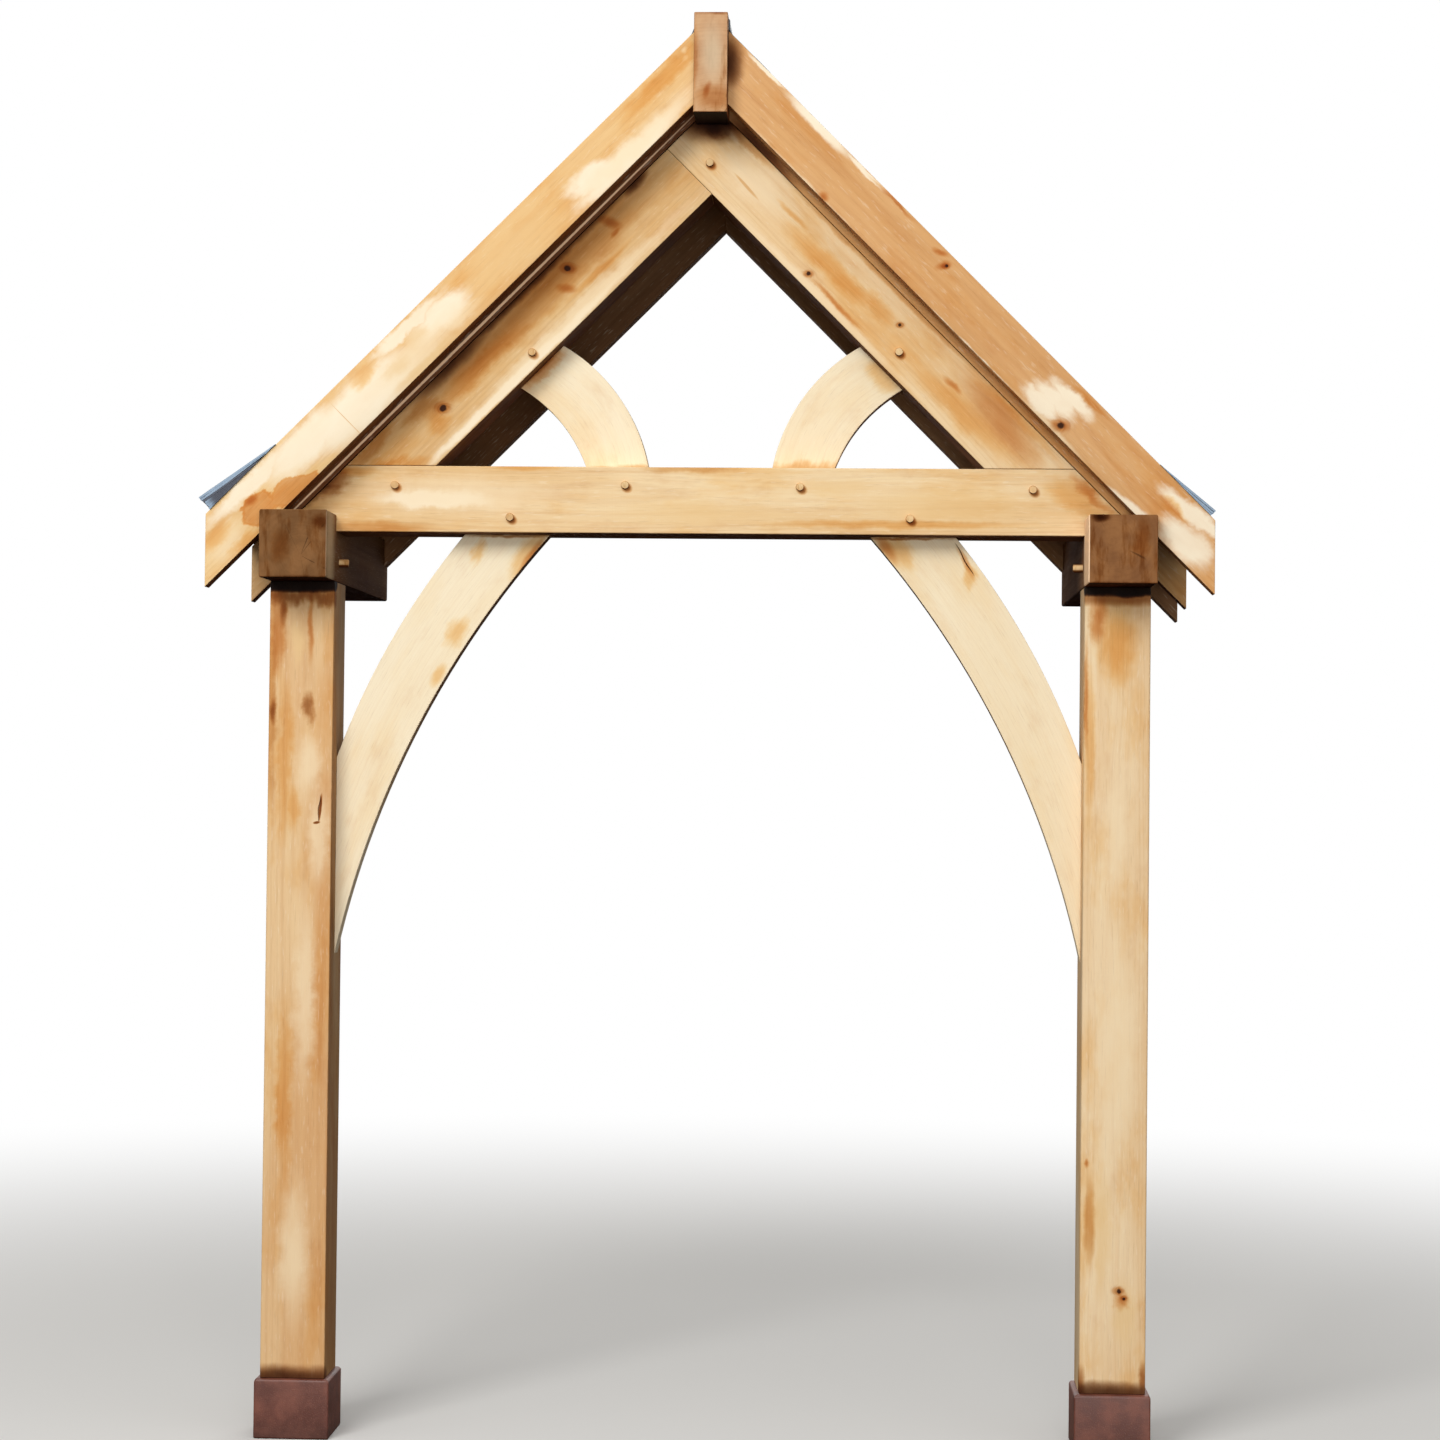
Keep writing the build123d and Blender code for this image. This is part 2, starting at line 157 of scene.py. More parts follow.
class Recipe:
    """A material or a world, written down node by node. Each call adds a node and returns its output."""

    def __init__(self, owner):
        owner.use_nodes = True
        self.owner, self.tree = owner, owner.node_tree
        self.tree.nodes.clear()

    def node(self, kind, out=0, inputs=None, **settings):
        made = self.tree.nodes.new(kind)
        for key, value in settings.items():
            setattr(made, key, value)
        for key, value in (inputs or {}).items():
            if isinstance(value, Value):
                self.tree.links.new(value.socket, made.inputs[key])
            else:
                made.inputs[key].default_value = tone(value) if isinstance(value, str) else value
        return Value(self, made.outputs[out]) if made.outputs else None

    def place(self):
        return self.node("ShaderNodeTexCoord", "Object")

    def attribute(self, name, out="Vector"):
        return self.node("ShaderNodeAttribute", out, attribute_name=name)

    def math(self, operation, a, b):
        return self.node("ShaderNodeMath", 0, {0: a, 1: b}, operation=operation)

    def highest(self, values):
        return reduce(lambda a, b: self.math("MAXIMUM", a, b), values)

    def vector(self, operation, a, b=(0, 0, 0), out=0):
        return self.node("ShaderNodeVectorMath", out, {0: a, 1: b}, operation=operation)

    def length(self, vector):
        return self.vector("LENGTH", vector, out="Value")

    def pushed(self, place, push, amounts):
        """place + push * amounts, axis by axis."""
        return self.vector("ADD", place, self.vector("MULTIPLY", push, amounts))

    def parts(self, vector):
        first = self.node("ShaderNodeSeparateXYZ", 0, {0: vector})
        return [Value(self, socket) for socket in first.socket.node.outputs]

    def joined(self, x, y, z):
        return self.node("ShaderNodeCombineXYZ", 0, {0: x, 1: y, 2: z})

    def noise(self, vector, stretch, detail=2.0, roughness=0.5, out="Fac"):
        """Noise with this many waves to the metre, one number or one for each axis."""
        scaled = self.vector("MULTIPLY", vector, stretch if isinstance(stretch, tuple) else (stretch,) * 3)
        inputs = {"Vector": scaled, "Scale": 1.0, "Detail": detail, "Roughness": roughness}
        return self.node("ShaderNodeTexNoise", out, inputs)

    def bands(self, value, per_metre, detail=1.0):
        inputs = {"W": value * per_metre, "Scale": 1.0, "Detail": detail}
        return self.node("ShaderNodeTexNoise", "Fac", inputs, noise_dimensions="1D")

    def step(self, value, low, high, below=0.0, above=1.0):
        """0 below low and 1 above high, or the other way round, with a soft change between them."""
        inputs = {"Value": value, "From Min": low, "From Max": high, "To Min": below, "To Max": above}
        return self.node("ShaderNodeMapRange", 0, inputs, interpolation_type="SMOOTHSTEP")

    def mix(self, share, a, b, blend="MIX"):
        return self.node("ShaderNodeMix", 2, {0: share, 6: a, 7: b}, data_type="RGBA", blend_type=blend)

    def filtered(self, colour, shade, amount):
        """Wood under a stain or painted shade: colour * shade ^ amount, channel by channel, as light goes
        through a stain.
        """
        depth = self.node("ShaderNodeGamma", 0, {"Color": shade, "Gamma": amount})
        return self.mix(1.0, colour, depth, "MULTIPLY")

    def blob(self, place, centre, radii, tilt, soft):
        """1 in the middle of an ellipsoid and 0 outside it. Its long axis is tilted from X, in degrees."""
        inputs = {"Vector": place, "Location": centre, "Rotation": (0, -radians(tilt), 0), "Scale": radii}
        local = self.node("ShaderNodeMapping", 0, inputs, vector_type="TEXTURE")
        return self.step(self.length(local), 1.0, 1.0 - soft)

    def finish(self, colour, roughness, height, distance, strength, **sockets):
        """The surface shader, with fixed numbers on its own sockets."""
        bump = {"Height": height, "Distance": distance, "Strength": strength}
        normal = self.node("ShaderNodeBump", 0, bump)
        inputs = {"Base Color": colour, "Roughness": roughness, "Normal": normal, **sockets}
        shader = self.node("ShaderNodeBsdfPrincipled", 0, inputs)
        self.node("ShaderNodeOutputMaterial", 0, {"Surface": shader})
        return self.owner

# %% [markdown]
# ## Oak
# Sawn oak shows the rings of the trunk as long bands, because the saw cuts along them. A flat picture of
# grain would not turn the corner of a beam. Here the wood is solid instead: each timber carries the distance
# along its grain and the two distances from the pith of the trunk it came from, and the rings are cylinders
# round that pith. The same rule then gives long bands on the faces and curved rings on the ends.
# Green oak is quiet: the bands are close to the wood's own colour, and what the eye sees first is sapwood,
# rain stain and tannin. Those are marks that lie over it, soft ellipsoids whose edges run out along the grain
# like a brush stroke, because water travels that way. Some of the marks are painted shade and painted light
# instead: shadows under the plates, barges, ridge and tie, lit edges and strips, and darkened undersides.

# %% The oak recipe
# what a mark does to the wood: its colour, whether it covers the wood or filters it, how much, and how soft
PAINTS = {
    "pale": ("#fbecd0", "cover", 0.92, 0.55),
    "cream": ("#f6dfb8", "cover", 0.65, 0.80),
    "straw": ("#ebc891", "cover", 0.62, 0.75),
    "orange": ("#f4d8b0", "filter", 1.00, 0.80),
    "tan": ("#e4c6a2", "filter", 1.00, 0.75),
    "tide": ("#e9c29c", "filter", 0.95, 0.34),
    "rust": ("#dcae84", "filter", 0.95, 0.90),
    # brown: stains, but at the brace and strut heads and below the plates it is painted shadow
    "brown": ("#b48c6a", "filter", 1.00, 0.90),
    # a dark brown used as painted shade under the ridge beam and beside the barge, over real stain
    "stain": ("#6e5240", "filter", 1.00, 0.98),
    # dark marks for painted shade under the barges, ridge and plates and at the posts' feet, mixed with some
    # dirt
    "grime": ("#5c4232", "filter", 1.00, 0.98),
    # near black: the painted shadow under the plates on the posts' tops, over some stain
    "black": ("#1e140e", "filter", 1.00, 0.45),
    # painted shade on the inward sides of the left post and the plates
    "shade": ("#c2b6aa", "filter", 1.00, 0.50),
    # the stain round each peg, shifted down and right as painted shadow of the proud peg
    "ring": ("#b8845a", "filter", 1.00, 0.70),
    # a pale cover used as painted highlight: a lit line on the left front rafter and the lit front of the
    # right plate's inner side
    "arris": ("#ffd9b0", "cover", 1.10, 0.40),
    # a pale cover; on the left plate's inner side it is painted light on the lit front strip
    "worn": ("#d2bb9a", "cover", 0.70, 0.85),
    "line": ("#dcb78c", "filter", 0.60, 0.60),
    "crack": ("#8a5a38", "filter", 1.00, 0.60),
}
TIDE_LINE = "#efcaa0"
# the sharp ones keep to their exact place, and the calm, short and narrow ones wander only a little
SHARP = ("shade", "ring", "arris", "worn", "line", "crack")
CALM = ("grime", "black")
SHORT, NARROW = 0.03, 0.021
CURVED_PITH = 0.06      # how far a curved timber's pith lies inside its outer curve


def oak(name, light, tan, along, marks=(), knots=(), curve=None, end=("#a9784a", "#7c5130"), streaks=1.0,
        under=0.4, cloudy=0.5, sheen=0.12):
    """Solid oak. The attribute grain holds (along, across, through) measured from the pith.

    For a curved timber it is measured from the centre of the curve, and turned here into the length along
    the arc and the distance across it: along = angle * radius, across = distance - radius.
    """
    m = Recipe(bpy.data.materials.new(name))
    place = m.place()
    grain = m.attribute("grain")
    if curve:
        x, y, z = m.parts(grain)
        far = m.length(m.joined(x, 0.0, z))
        grain = m.joined(m.math("ARCTAN2", z, x) * curve, far - (curve - CURVED_PITH), y)
    length, across, through = m.parts(grain)
    ragged = m.noise(grain, (5.0, 26.0, 26.0), 3.0, 0.6) - 0.5
    rough = m.vector("SUBTRACT", m.noise(place, 17.0, 5.0, 0.62, "Color"), (0.5, 0.5, 0.5))
    uneven = m.pushed(place, rough, (0.020, 0.0, 0.020))

    # the wood itself: rings that wander, and that knots push aside
    wander = m.noise(grain, (0.9, 3.5, 3.5)) - 0.5
    radius = m.length(m.joined(0.0, across, through)) + wander * 0.05
    if knots:
        halo = m.highest([m.blob(place, (x, truss_y, z), (size * 4.5, 0.6, size * 3.2), 0, 0.9)
                          for x, z, size in knots])
        core = m.highest([m.blob(uneven, (x, truss_y, z), (size * 1.35, 0.6, size * 1.2), 0, 0.5)
                          for x, z, size in knots])
        radius = radius + halo * 0.012
    rings = m.step(m.bands(radius, 190.0, 2.0), 0.45, 0.68)
    broad = m.noise(grain, (0.8, 6.0, 6.0), 3.0, 0.55)
    cloud = m.noise(grain, (3.2, 9.0, 9.0), 4.0, 0.62)
    streak = m.noise(grain, (1.6, 60.0, 60.0), 4.0, 0.6)
    fibre = m.noise(grain, (16.0, 620.0, 620.0), 2.0, 0.6)
    mottle = m.noise(grain, (7.0, 16.0, 16.0), 4.0, 0.6)
    flecks = m.noise(grain, (30.0, 210.0, 900.0), 2.0, 0.5)
    colour = m.mix(m.step(broad, 0.34, 0.66), light, tan)
    colour = m.filtered(colour, "#f1cf9f", m.step(cloud, 0.46, 0.72) * cloudy)
    for mask, share, shade in ((m.step(streak, 0.40, 0.72), 0.22 * streaks, tan),
                               (rings, 0.13 * streaks, "#c79a66"),
                               (m.step(fibre, 0.58, 0.74), 0.22, "#9a6f44"),
                               (m.step(mottle, 0.52, 0.76), 0.20, "#d7a873")):
        colour = m.mix(mask * share, colour, shade, "MULTIPLY")
    colour = m.mix(m.step(flecks, 0.60, 0.72) * 0.16, colour, "#fff3dc")

    # ends, with soft rings and a few fine drying cracks
    ends = m.step(m.attribute("end", "Fac"), 0.55, 0.85)
    rays = m.bands(m.math("ARCTAN2", through, across), 7.0)
    crack = m.step(rays, 0.72, 0.76) * m.step(m.noise(grain, (8.0, 16.0, 16.0)), 0.50, 0.58)
    drips = m.noise(place, (46.0, 46.0, 9.0), 4.0, 0.6)
    face = m.mix(m.step(m.noise(place, 11.0, 4.0, 0.6), 0.36, 0.66), *end)
    face = m.mix(m.step(m.bands(radius, 150.0, 2.0), 0.40, 0.66) * 0.07, face, "#8c6240", "MULTIPLY")
    face = m.filtered(face, "#b08a62", m.step(drips, 0.50, 0.74) * 0.55)
    face = m.mix(crack * 0.55, face, "#2c1a10")
    colour = m.mix(ends, colour, face)

    # marks: their ends are drawn out along the grain, and their outlines wander like the edge of a puddle
    shift = ragged * 0.075
    moved = m.pushed(m.pushed(place, m.joined(shift, shift, shift), along), rough, (0.050, 0.0, 0.050))
    for paint, (shade, manner, share, soft) in PAINTS.items():
        spots = []
        for centre, radii, tilt in (mark[1:] for mark in marks if mark[0] == paint):
            calm = paint in CALM or radii[0] < SHORT or radii[2] < NARROW
            where = place if paint in SHARP else uneven if calm else moved
            spots.append(m.blob(where, centre, radii, tilt, soft))
        if not spots:
            continue
        spot = m.highest(spots)
        if paint == "tide":
            line = m.step(spot, 0.03, 0.35) * m.step(spot, 0.95, 0.45)
            colour = m.filtered(colour, TIDE_LINE, line * (mottle + 0.2))
        worn = spot * (mottle * 0.5 + (share - 0.25))
        colour = m.mix(worn, colour, shade) if manner == "cover" else m.filtered(colour, shade, worn)
    if knots:
        knot_rings = m.step(m.bands(radius, 300.0), 0.4, 0.7)
        colour = m.mix(halo * (knot_rings * 0.35 + 0.2), colour, "#b57a45", "MULTIPLY")
        colour = m.filtered(colour, "#d9a878", m.step(halo, 0.25, 0.9) * 0.6)
        colour = m.mix(core * 0.95, colour, "#2a1208")

    # painted shade: faces that look down are darkened, for the shade under things
    down = m.step(m.parts(m.node("ShaderNodeNewGeometry", "Normal"))[2], -0.30, -0.62)
    colour = m.filtered(colour, "#6a4a34", down * (mottle + under))

    sawn = m.bands(length + wander * 0.02, 240.0)
    height = streak * 0.5 + fibre * 0.5 + sawn * 0.25 - crack * ends * 2.0
    return m.finish(colour, streak * 0.2 + 0.62, height, 0.0006, 0.6, **{"Specular IOR Level": sheen})

# %% [markdown]
# ## Dressing a timber
# The solids are exact but knife-sharp. A real arris has been handled and is round by a few millimetres, and
# that thin bright line is most of what makes a beam look like wood. Each timber is a copy of its solid with
# the loose triangles merged, flat ones joined, and the sharp edges rolled over. The pattern's numbers are
# then worked out for all its points at once.

# %% Dress one timber
MERGE_WITHIN = 2e-5
FLAT_BELOW, SHARP_ABOVE, CREASED_ABOVE = 0.4, 25, 20      # degrees between two faces


def mesh_of(shell, name):
    """The mesh of an edited shell, which is then let go."""
    mesh = bpy.data.meshes.new(name)
    shell.to_mesh(mesh)
    shell.free()
    return mesh


def smoothed(mesh, creased_above):
    """Smooth shading, with a crease where two faces meet at more than this many degrees."""
    mesh.shade_smooth()
    mesh.set_sharp_from_angle(angle=radians(creased_above))
    return mesh


def wood_copy(node, round_by):
    """A copy of a solid whose doubles are merged and whose sharp edges are rounded by this much."""
    shell = bmesh.new()
    shell.from_mesh(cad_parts[node].data)
    bmesh.ops.remove_doubles(shell, verts=shell.verts, dist=MERGE_WITHIN)
    bmesh.ops.dissolve_limit(shell, angle_limit=radians(FLAT_BELOW), verts=shell.verts, edges=shell.edges)
    sharp = [e for e in shell.edges if e.is_manifold and e.calc_face_angle() > radians(SHARP_ABOVE)]
    bmesh.ops.bevel(shell, geom=sharp, offset=round_by, segments=2, profile=0.5, affect="EDGES",
                    clamp_overlap=True)
    return smoothed(mesh_of(shell, f"{node}_dressed"), CREASED_ABOVE)


def rows(items, key):
    """A vector of every point or face of a mesh as one array, a row each."""
    flat = np.empty(len(items) * 3)
    items.foreach_get(key, flat)
    return flat.reshape(-1, 3)


def keep(mesh, name, values, on="POINT"):
    """Writes an array on a mesh under a name, a number or a vector for every point or face."""
    kind, field = ("FLOAT", "value") if values.ndim == 1 else ("FLOAT_VECTOR", "vector")
    mesh.attributes.new(name, kind, on).data.foreach_set(field, values.ravel())


def mark_grain(mesh, along, pith, start):
    """Writes the grain of a straight timber, for a point p and its distance d = p - pith.

    grain = (d.along + start, d.across, d.through), where across and through stand square to the grain. The
    face value end is how squarely a face cuts the grain.
    """
    along = np.array(along, float) / np.linalg.norm(along)
    through = np.array((0.0, 0.0, 1.0)) if abs(along[1]) > 0.9 else np.array((0.0, 1.0, 0.0))
    across = np.cross(through, along)
    away = rows(mesh.vertices, "co") - np.array(pith, float)
    keep(mesh, "grain", np.stack([away @ along + start, away @ across, away @ through], axis=1))
    keep(mesh, "end", np.abs(rows(mesh.polygons, "normal") @ along), "FACE")


def mark_curved_grain(mesh, centre, side):
    """Writes the grain of a curved timber as places from the centre of its curve, x turned by side.

    The face value end compares each face's normal with the direction of the curve there.
    """
    turn = np.array((side, 1.0, 1.0))
    keep(mesh, "grain", (rows(mesh.vertices, "co") - np.array(centre)) * turn)
    spoke = (rows(mesh.polygons, "center") - np.array(centre)) * turn
    tangent = np.stack([-spoke[:, 2], np.zeros(len(spoke)), spoke[:, 0]], axis=1)
    tangent /= np.linalg.norm(tangent, axis=1, keepdims=True)
    keep(mesh, "end", np.abs(np.sum(rows(mesh.polygons, "normal") * turn * tangent, axis=1)), "FACE")


def add_piece(name, mesh, material, slot, *replaced):
    """Puts a finished mesh in the scene as a piece of the object, standing for the nodes it replaces."""
    piece = in_scene(name, mesh)
    mesh.materials.clear()
    mesh.materials.append(material)
    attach(piece, "root")
    if replaced:
        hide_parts(*replaced)
    return piece

# %% [markdown]
# ## The marks
# The marks follow the photograph. A carpenter would point at a stain by its place on the timber, and so does
# this list, in millimetres: how far along the face from the timber's own corner, how far down or across it,
# how long and how wide the mark is, and how far it leans from the grain.

# %% Marks on the front faces
MM = 1000      # millimetres to the metre
PLATE_HALF, BARGE_GAP = 0.085, 0.020
SIDES = ((-1, "left"), (1, "right"))
DOWN, RIGHT, ABOVE = (0, -1), (1, 0), (0, 1)
post_top, plate_top = tie_bottom - 0.120, tie_bottom + 0.043
truss_apex = (0.0, rafter_low_apex)
# each face: its corner (x, z), the direction along it, the direction across it, and its y
FACES = {
    "tie_beam": ((-1.080, tie_top + 0.0075), RIGHT, DOWN, truss_y),
    "post_left": ((-1.120, post_top), DOWN, RIGHT, truss_y),
    "post_right": ((0.940, post_top), DOWN, RIGHT, truss_y),
    "ridge_beam": ((-ridge_side, high_ridge.z), DOWN, RIGHT, front_y),
}
for side, word in SIDES:
    down, back, up = ((side * sin(slope), -cos(slope)), (-side * sin(slope), -cos(slope)),
                      (side * sin(slope), cos(slope)))
    front_rafter_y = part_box(f"front_rafter_{word}")[0].y
    FACES[f"barge_rafter_{word}"] = ((side * BARGE_GAP, roof_apex - BARGE_GAP), down, back, barge_y)
    FACES[f"principal_rafter_{word}"] = (truss_apex, down, back, truss_y)
    FACES[f"front_rafter_{word}"] = (truss_apex, down, up, front_rafter_y)
    FACES[f"wall_plate_{word}"] = ((side * post_x - PLATE_HALF, plate_top), DOWN, RIGHT, front_y)
    FACES[f"curved_brace_{word}"] = FACES[f"curved_strut_{word}"] = ((0, 0), RIGHT, ABOVE, curved_y)
# each mark: how far along, how far across, length, width and, where it leans, by how many degrees
MARKS = {
    "barge_rafter_left": {
        "orange": [(170, 30, 360, 60), (1232, 32, 100, 64), (1775, 60, 130, 70), (1730, 125, 140, 50)],
        "straw": [(730, 70, 400, 180), (1065, 56, 90, 60), (1150, 76, 110, 60), (1100, 118, 300, 26)],
        "cream": [(85, 16, 32, 20), (98, 30, 26, 16), (320, 100, 600, 80), (960, 96, 200, 70),
            (1100, 90, 400, 100), (1760, 90, 160, 120)],
        "pale": [(370, 112, 460, 70), (470, 86, 200, 90, 10), (990, 60, 260, 90), (1070, 20, 340, 44),
            (1280, 80, 460, 160), (1440, 50, 360, 120), (1620, 26, 360, 60)],
        "tide": [(1555, 114, 150, 80, 14), (1650, 84, 116, 80)],
        "rust": [(1648, 56, 60, 30)],
        "line": [(1335, 85, 3, 150)],
    },
    "barge_rafter_right": {
        # painted shade from the ridge beam beside it
        "grime": [(85, 60, 110, 160, 45)],
        "pale": [(170, 4, 160, 16), (360, 8, 280, 38), (530, 6, 200, 16), (1020, 134, 440, 18),
            (1290, 40, 180, 60), (1265, 70, 180, 70), (1235, 100, 170, 56), (1700, 30, 260, 56, 6),
            (1580, 128, 220, 40, 8), (1740, 90, 200, 110)],
        "cream": [(400, 133, 540, 22), (1300, 128, 300, 26)],
        "rust": [(828, 34, 56, 30, 60), (800, 15, 60, 20, 20), (495, 122, 40, 30), (620, 6, 200, 14)],
        "orange": [(1330, 12, 160, 24), (1655, 52, 120, 44)],
    },
    "principal_rafter_left": {
        # at the apex, painted shade under the ridge beam over some stain; along the top edge, painted shadow
        # of the barge over tannin stain
        "stain": [(35, 10, 240, 90, 45)],
        "grime": [(660, -6, 1200, 52), (930, -2, 360, 76), (280, 2, 120, 46)],
        "tan": [(620, 46, 1060, 130), (1060, 30, 160, 60), (1220, 10, 200, 50)],
        "rust": [(395, 30, 90, 40, 70), (402, 58, 50, 18), (590, 74, 70, 34, 50)],
        "orange": [(880, 60, 400, 70), (500, 100, 280, 26), (1058, 80, 110, 80, -45),
            (1205, 90, 230, 50, 45)],
        "cream": [(650, 138, 1200, 60)],
        "pale": [(840, 147, 900, 30)],
    },
    "principal_rafter_right": {
        # at the apex, painted shade under the ridge beam over some stain
        "grime": [(30, 34, 300, 130, 45)],
        "stain": [(30, 20, 240, 100, 45)],
        "tan": [(130, 4, 260, 44), (620, 2, 900, 26)],
        "cream": [(220, 70, 340, 120), (500, 150, 900, 34)],
        "orange": [(520, 82, 420, 80, 2), (345, 54, 140, 20), (660, 66, 160, 60), (1000, 100, 460, 90),
            (1100, 10, 400, 44)],
        "line": [(210, 86, 110, 10, -3)],
        "rust": [(580, 134, 220, 18), (1080, 45, 420, 110, -6), (935, 70, 80, 22)],
    },
    "tie_beam": {
        # at the left end, painted shadow of the barge over a stain
        "stain": [(80, 60, 200, 80, 45)],
        "brown": [(130, 50, 160, 70, 45)],
        "orange": [(180, 22, 160, 34), (1560, 150, 900, 30), (2000, 80, 200, 100, -30), (620, 10, 240, 24)],
        "cream": [(440, 80, 700, 130)],
        "pale": [(380, 90, 340, 60)],
        "straw": [(1050, 122, 640, 90), (1660, 100, 640, 110), (1400, 60, 300, 60)],
        "rust": [(2040, 70, 190, 46, -45)],
        "tan": [(1040, 10, 340, 32), (240, 164, 400, 40)],
    },
    "post_left": {
        # the dark band under the plate is painted shadow over some stain, and the first brown mark is its
        # soft lower edge
        "black": [(10, 90, 58, 700)],
        "brown": [(45, 90, 60, 600), (70, 42, 140, 26), (325, 112, 110, 50, -10), (340, 20, 80, 24)],
        "rust": [(130, 28, 320, 60), (120, 112, 240, 22)],
        "straw": [(160, 80, 160, 50)],
        "tan": [(360, 12, 640, 46)],
        "orange": [(460, 50, 500, 60), (580, 72, 160, 50), (1300, 60, 600, 60)],
        "cream": [(470, 115, 240, 90), (660, 140, 320, 70), (1050, 110, 600, 80), (1700, 90, 500, 110)],
        "crack": [(582, 143, 85, 9, 5), (619, 134, 22, 9, 80)],
        # at the foot, painted shade where the post meets its block
        "grime": [(2020, 80, 80, 600)],
    },
    "post_right": {
        # the dark band under the plate is painted shadow over some stain, and the first brown mark is its
        # soft lower edge
        "black": [(8, 90, 52, 700)],
        "brown": [(36, 90, 50, 600), (2000, 10, 120, 36), (1980, 165, 100, 24)],
        "rust": [(90, 40, 160, 60), (280, 12, 360, 18), (1450, 24, 30, 16), (1785, 110, 76, 56)],
        "orange": [(400, 22, 500, 40), (160, 90, 240, 120)],
        "cream": [(620, 90, 500, 100), (1150, 100, 800, 150)],
        "straw": [(1620, 60, 440, 70), (1830, 120, 260, 80)],
        "tan": [(1600, 30, 300, 36)],
        # at the foot, painted shade where the post meets its block
        "grime": [(2020, 80, 70, 600)],
    },
    "ridge_beam": {
        "worn": [(100, 46, 210, 80)],
        "tan": [(120, -2, 260, 34), (215, 50, 90, 140)],
        "brown": [(-2, 52, 24, 160)],
        "rust": [(195, 34, 60, 22, 20)],
    },
    "wall_plate_left": {
        # a darker band along the bottom of the plate's end
        "grime": [(178, 90, 34, 400)],
        "brown": [(30, 150, 60, 60)],
        "tan": [(90, 50, 120, 60)],
    },
    "wall_plate_right": {
        # a darker band along the bottom of the plate's end, and a small dark spot near its top
        "grime": [(178, 90, 34, 400), (4, 30, 34, 60)],
        "tan": [(60, 130, 120, 50)],
    },
    "front_rafter_left": {
        # painted highlight: a thin lit line along the rafter's face below the barge, the rest of the face
        # being painted shade
        "arris": [(850, 12.5, 1900, 8)],
    },
    "front_rafter_right": {
        # painted shade near the apex, under the barge
        "grime": [(160, 4, 340, 50)],
    },
    # the curved timbers' marks are counted from the origin, to the right and up
    "curved_brace_left": {
        "orange": [(-590, -1205, 100, 44, -72), (-475, -1215, 170, 56, -56), (-645, -1415, 110, 70, -64),
            (-690, -1525, 90, 36, -60)],
        # painted shadow of the tie along the brace's head
        "brown": [(-500, -1166, 340, 14)],
        "rust": [(-455, -1215, 160, 28, -56)],
    },
    "curved_brace_right": {
        "rust": [(450, -1190, 120, 40, 54), (650, -1226, 120, 22, 60)],
        "orange": [(480, -1195, 160, 80, 58), (585, -1418, 60, 30, 60), (668, -1264, 70, 56, 40)],
        # painted shadow of the tie along the brace's head
        "brown": [(500, -1166, 340, 12)],
    },
    "curved_strut_left": {
        # at the strut's head, painted shadow of the principal over a stain
        "rust": [(-428, -742, 200, 50, -45)],
        "brown": [(-436, -734, 200, 28, -45)],
        "tan": [(-195, -994, 120, 36), (-285, -996, 100, 20)],
    },
    "curved_strut_right": {
        "orange": [(440, -760, 160, 80, 45)],
        "rust": [(462, -745, 140, 30, 45)],
        "tan": [(240, -998, 400, 70)],
    },
}
# marks on the sides that face inwards: paint, centre and half sizes, all as (x, y, z). These are painted
# shade on the inward sides, and painted light on the front strips of the plates' inner sides
SIDE_MARKS = {
    "post_left": [("shade", (-post_inner, truss_y + 0.085, -2.2), (0.003, 0.30, 1.80))],
    "wall_plate_right": [
        ("arris", (post_x - PLATE_HALF, front_y + 0.060, tie_bottom - 0.040), (0.005, 0.110, 0.250)),
        ("shade", (post_x - PLATE_HALF, -0.36, tie_bottom - 0.040), (0.003, 0.46, 0.40)),
    ],
    "wall_plate_left": [
        ("worn", (PLATE_HALF - post_x, front_y + 0.050, tie_bottom - 0.040), (0.004, 0.095, 0.250)),
        ("shade", (PLATE_HALF - post_x, -0.36, tie_bottom - 0.040), (0.003, 0.46, 0.40)),
    ],
}
# knots: how far along and across, and their radius
KNOTS = {
    "principal_rafter_left": [(551, 39, 8.5), (1026, 67, 8.5)],
    "principal_rafter_right": [(478, 130, 5.5), (733, 57, 4.5)],
    "barge_rafter_right": [(1317, 106, 10), (835, 30, 4.5)],
    "post_right": [(1765, 103, 6), (1783, 118, 4)],
}
# pegs in the truss: x, z and how far each stands proud; round each goes a ring of stain and painted shadow
PEG_PLACES = [(-0.797, -1.0445, 0.008), (-0.503, -1.1245, 0.010), (-0.212, -1.0415, 0.009),
              (0.230, -1.0435, 0.009), (0.507, -1.1225, 0.012), (0.815, -1.0475, 0.010),
              (-0.452, -0.7055, 0.006), (0.476, -0.7015, 0.010), (-0.006, -0.2235, 0.009)]
PEG_SHADOW_SHIFT, RING_RADII, RING_TILT = (0.004, -0.006), (0.018, 0.03, 0.015), -40
MARK_DEPTH = 0.05


def on_face(node, far, across):
    """The place of a point on a timber's front face, so many millimetres along it and across it."""
    corner, run, side, y = FACES[node]
    far, across = far / MM, across / MM
    return (corner[0] + run[0] * far + side[0] * across, y, corner[1] + run[1] * far + side[1] * across)


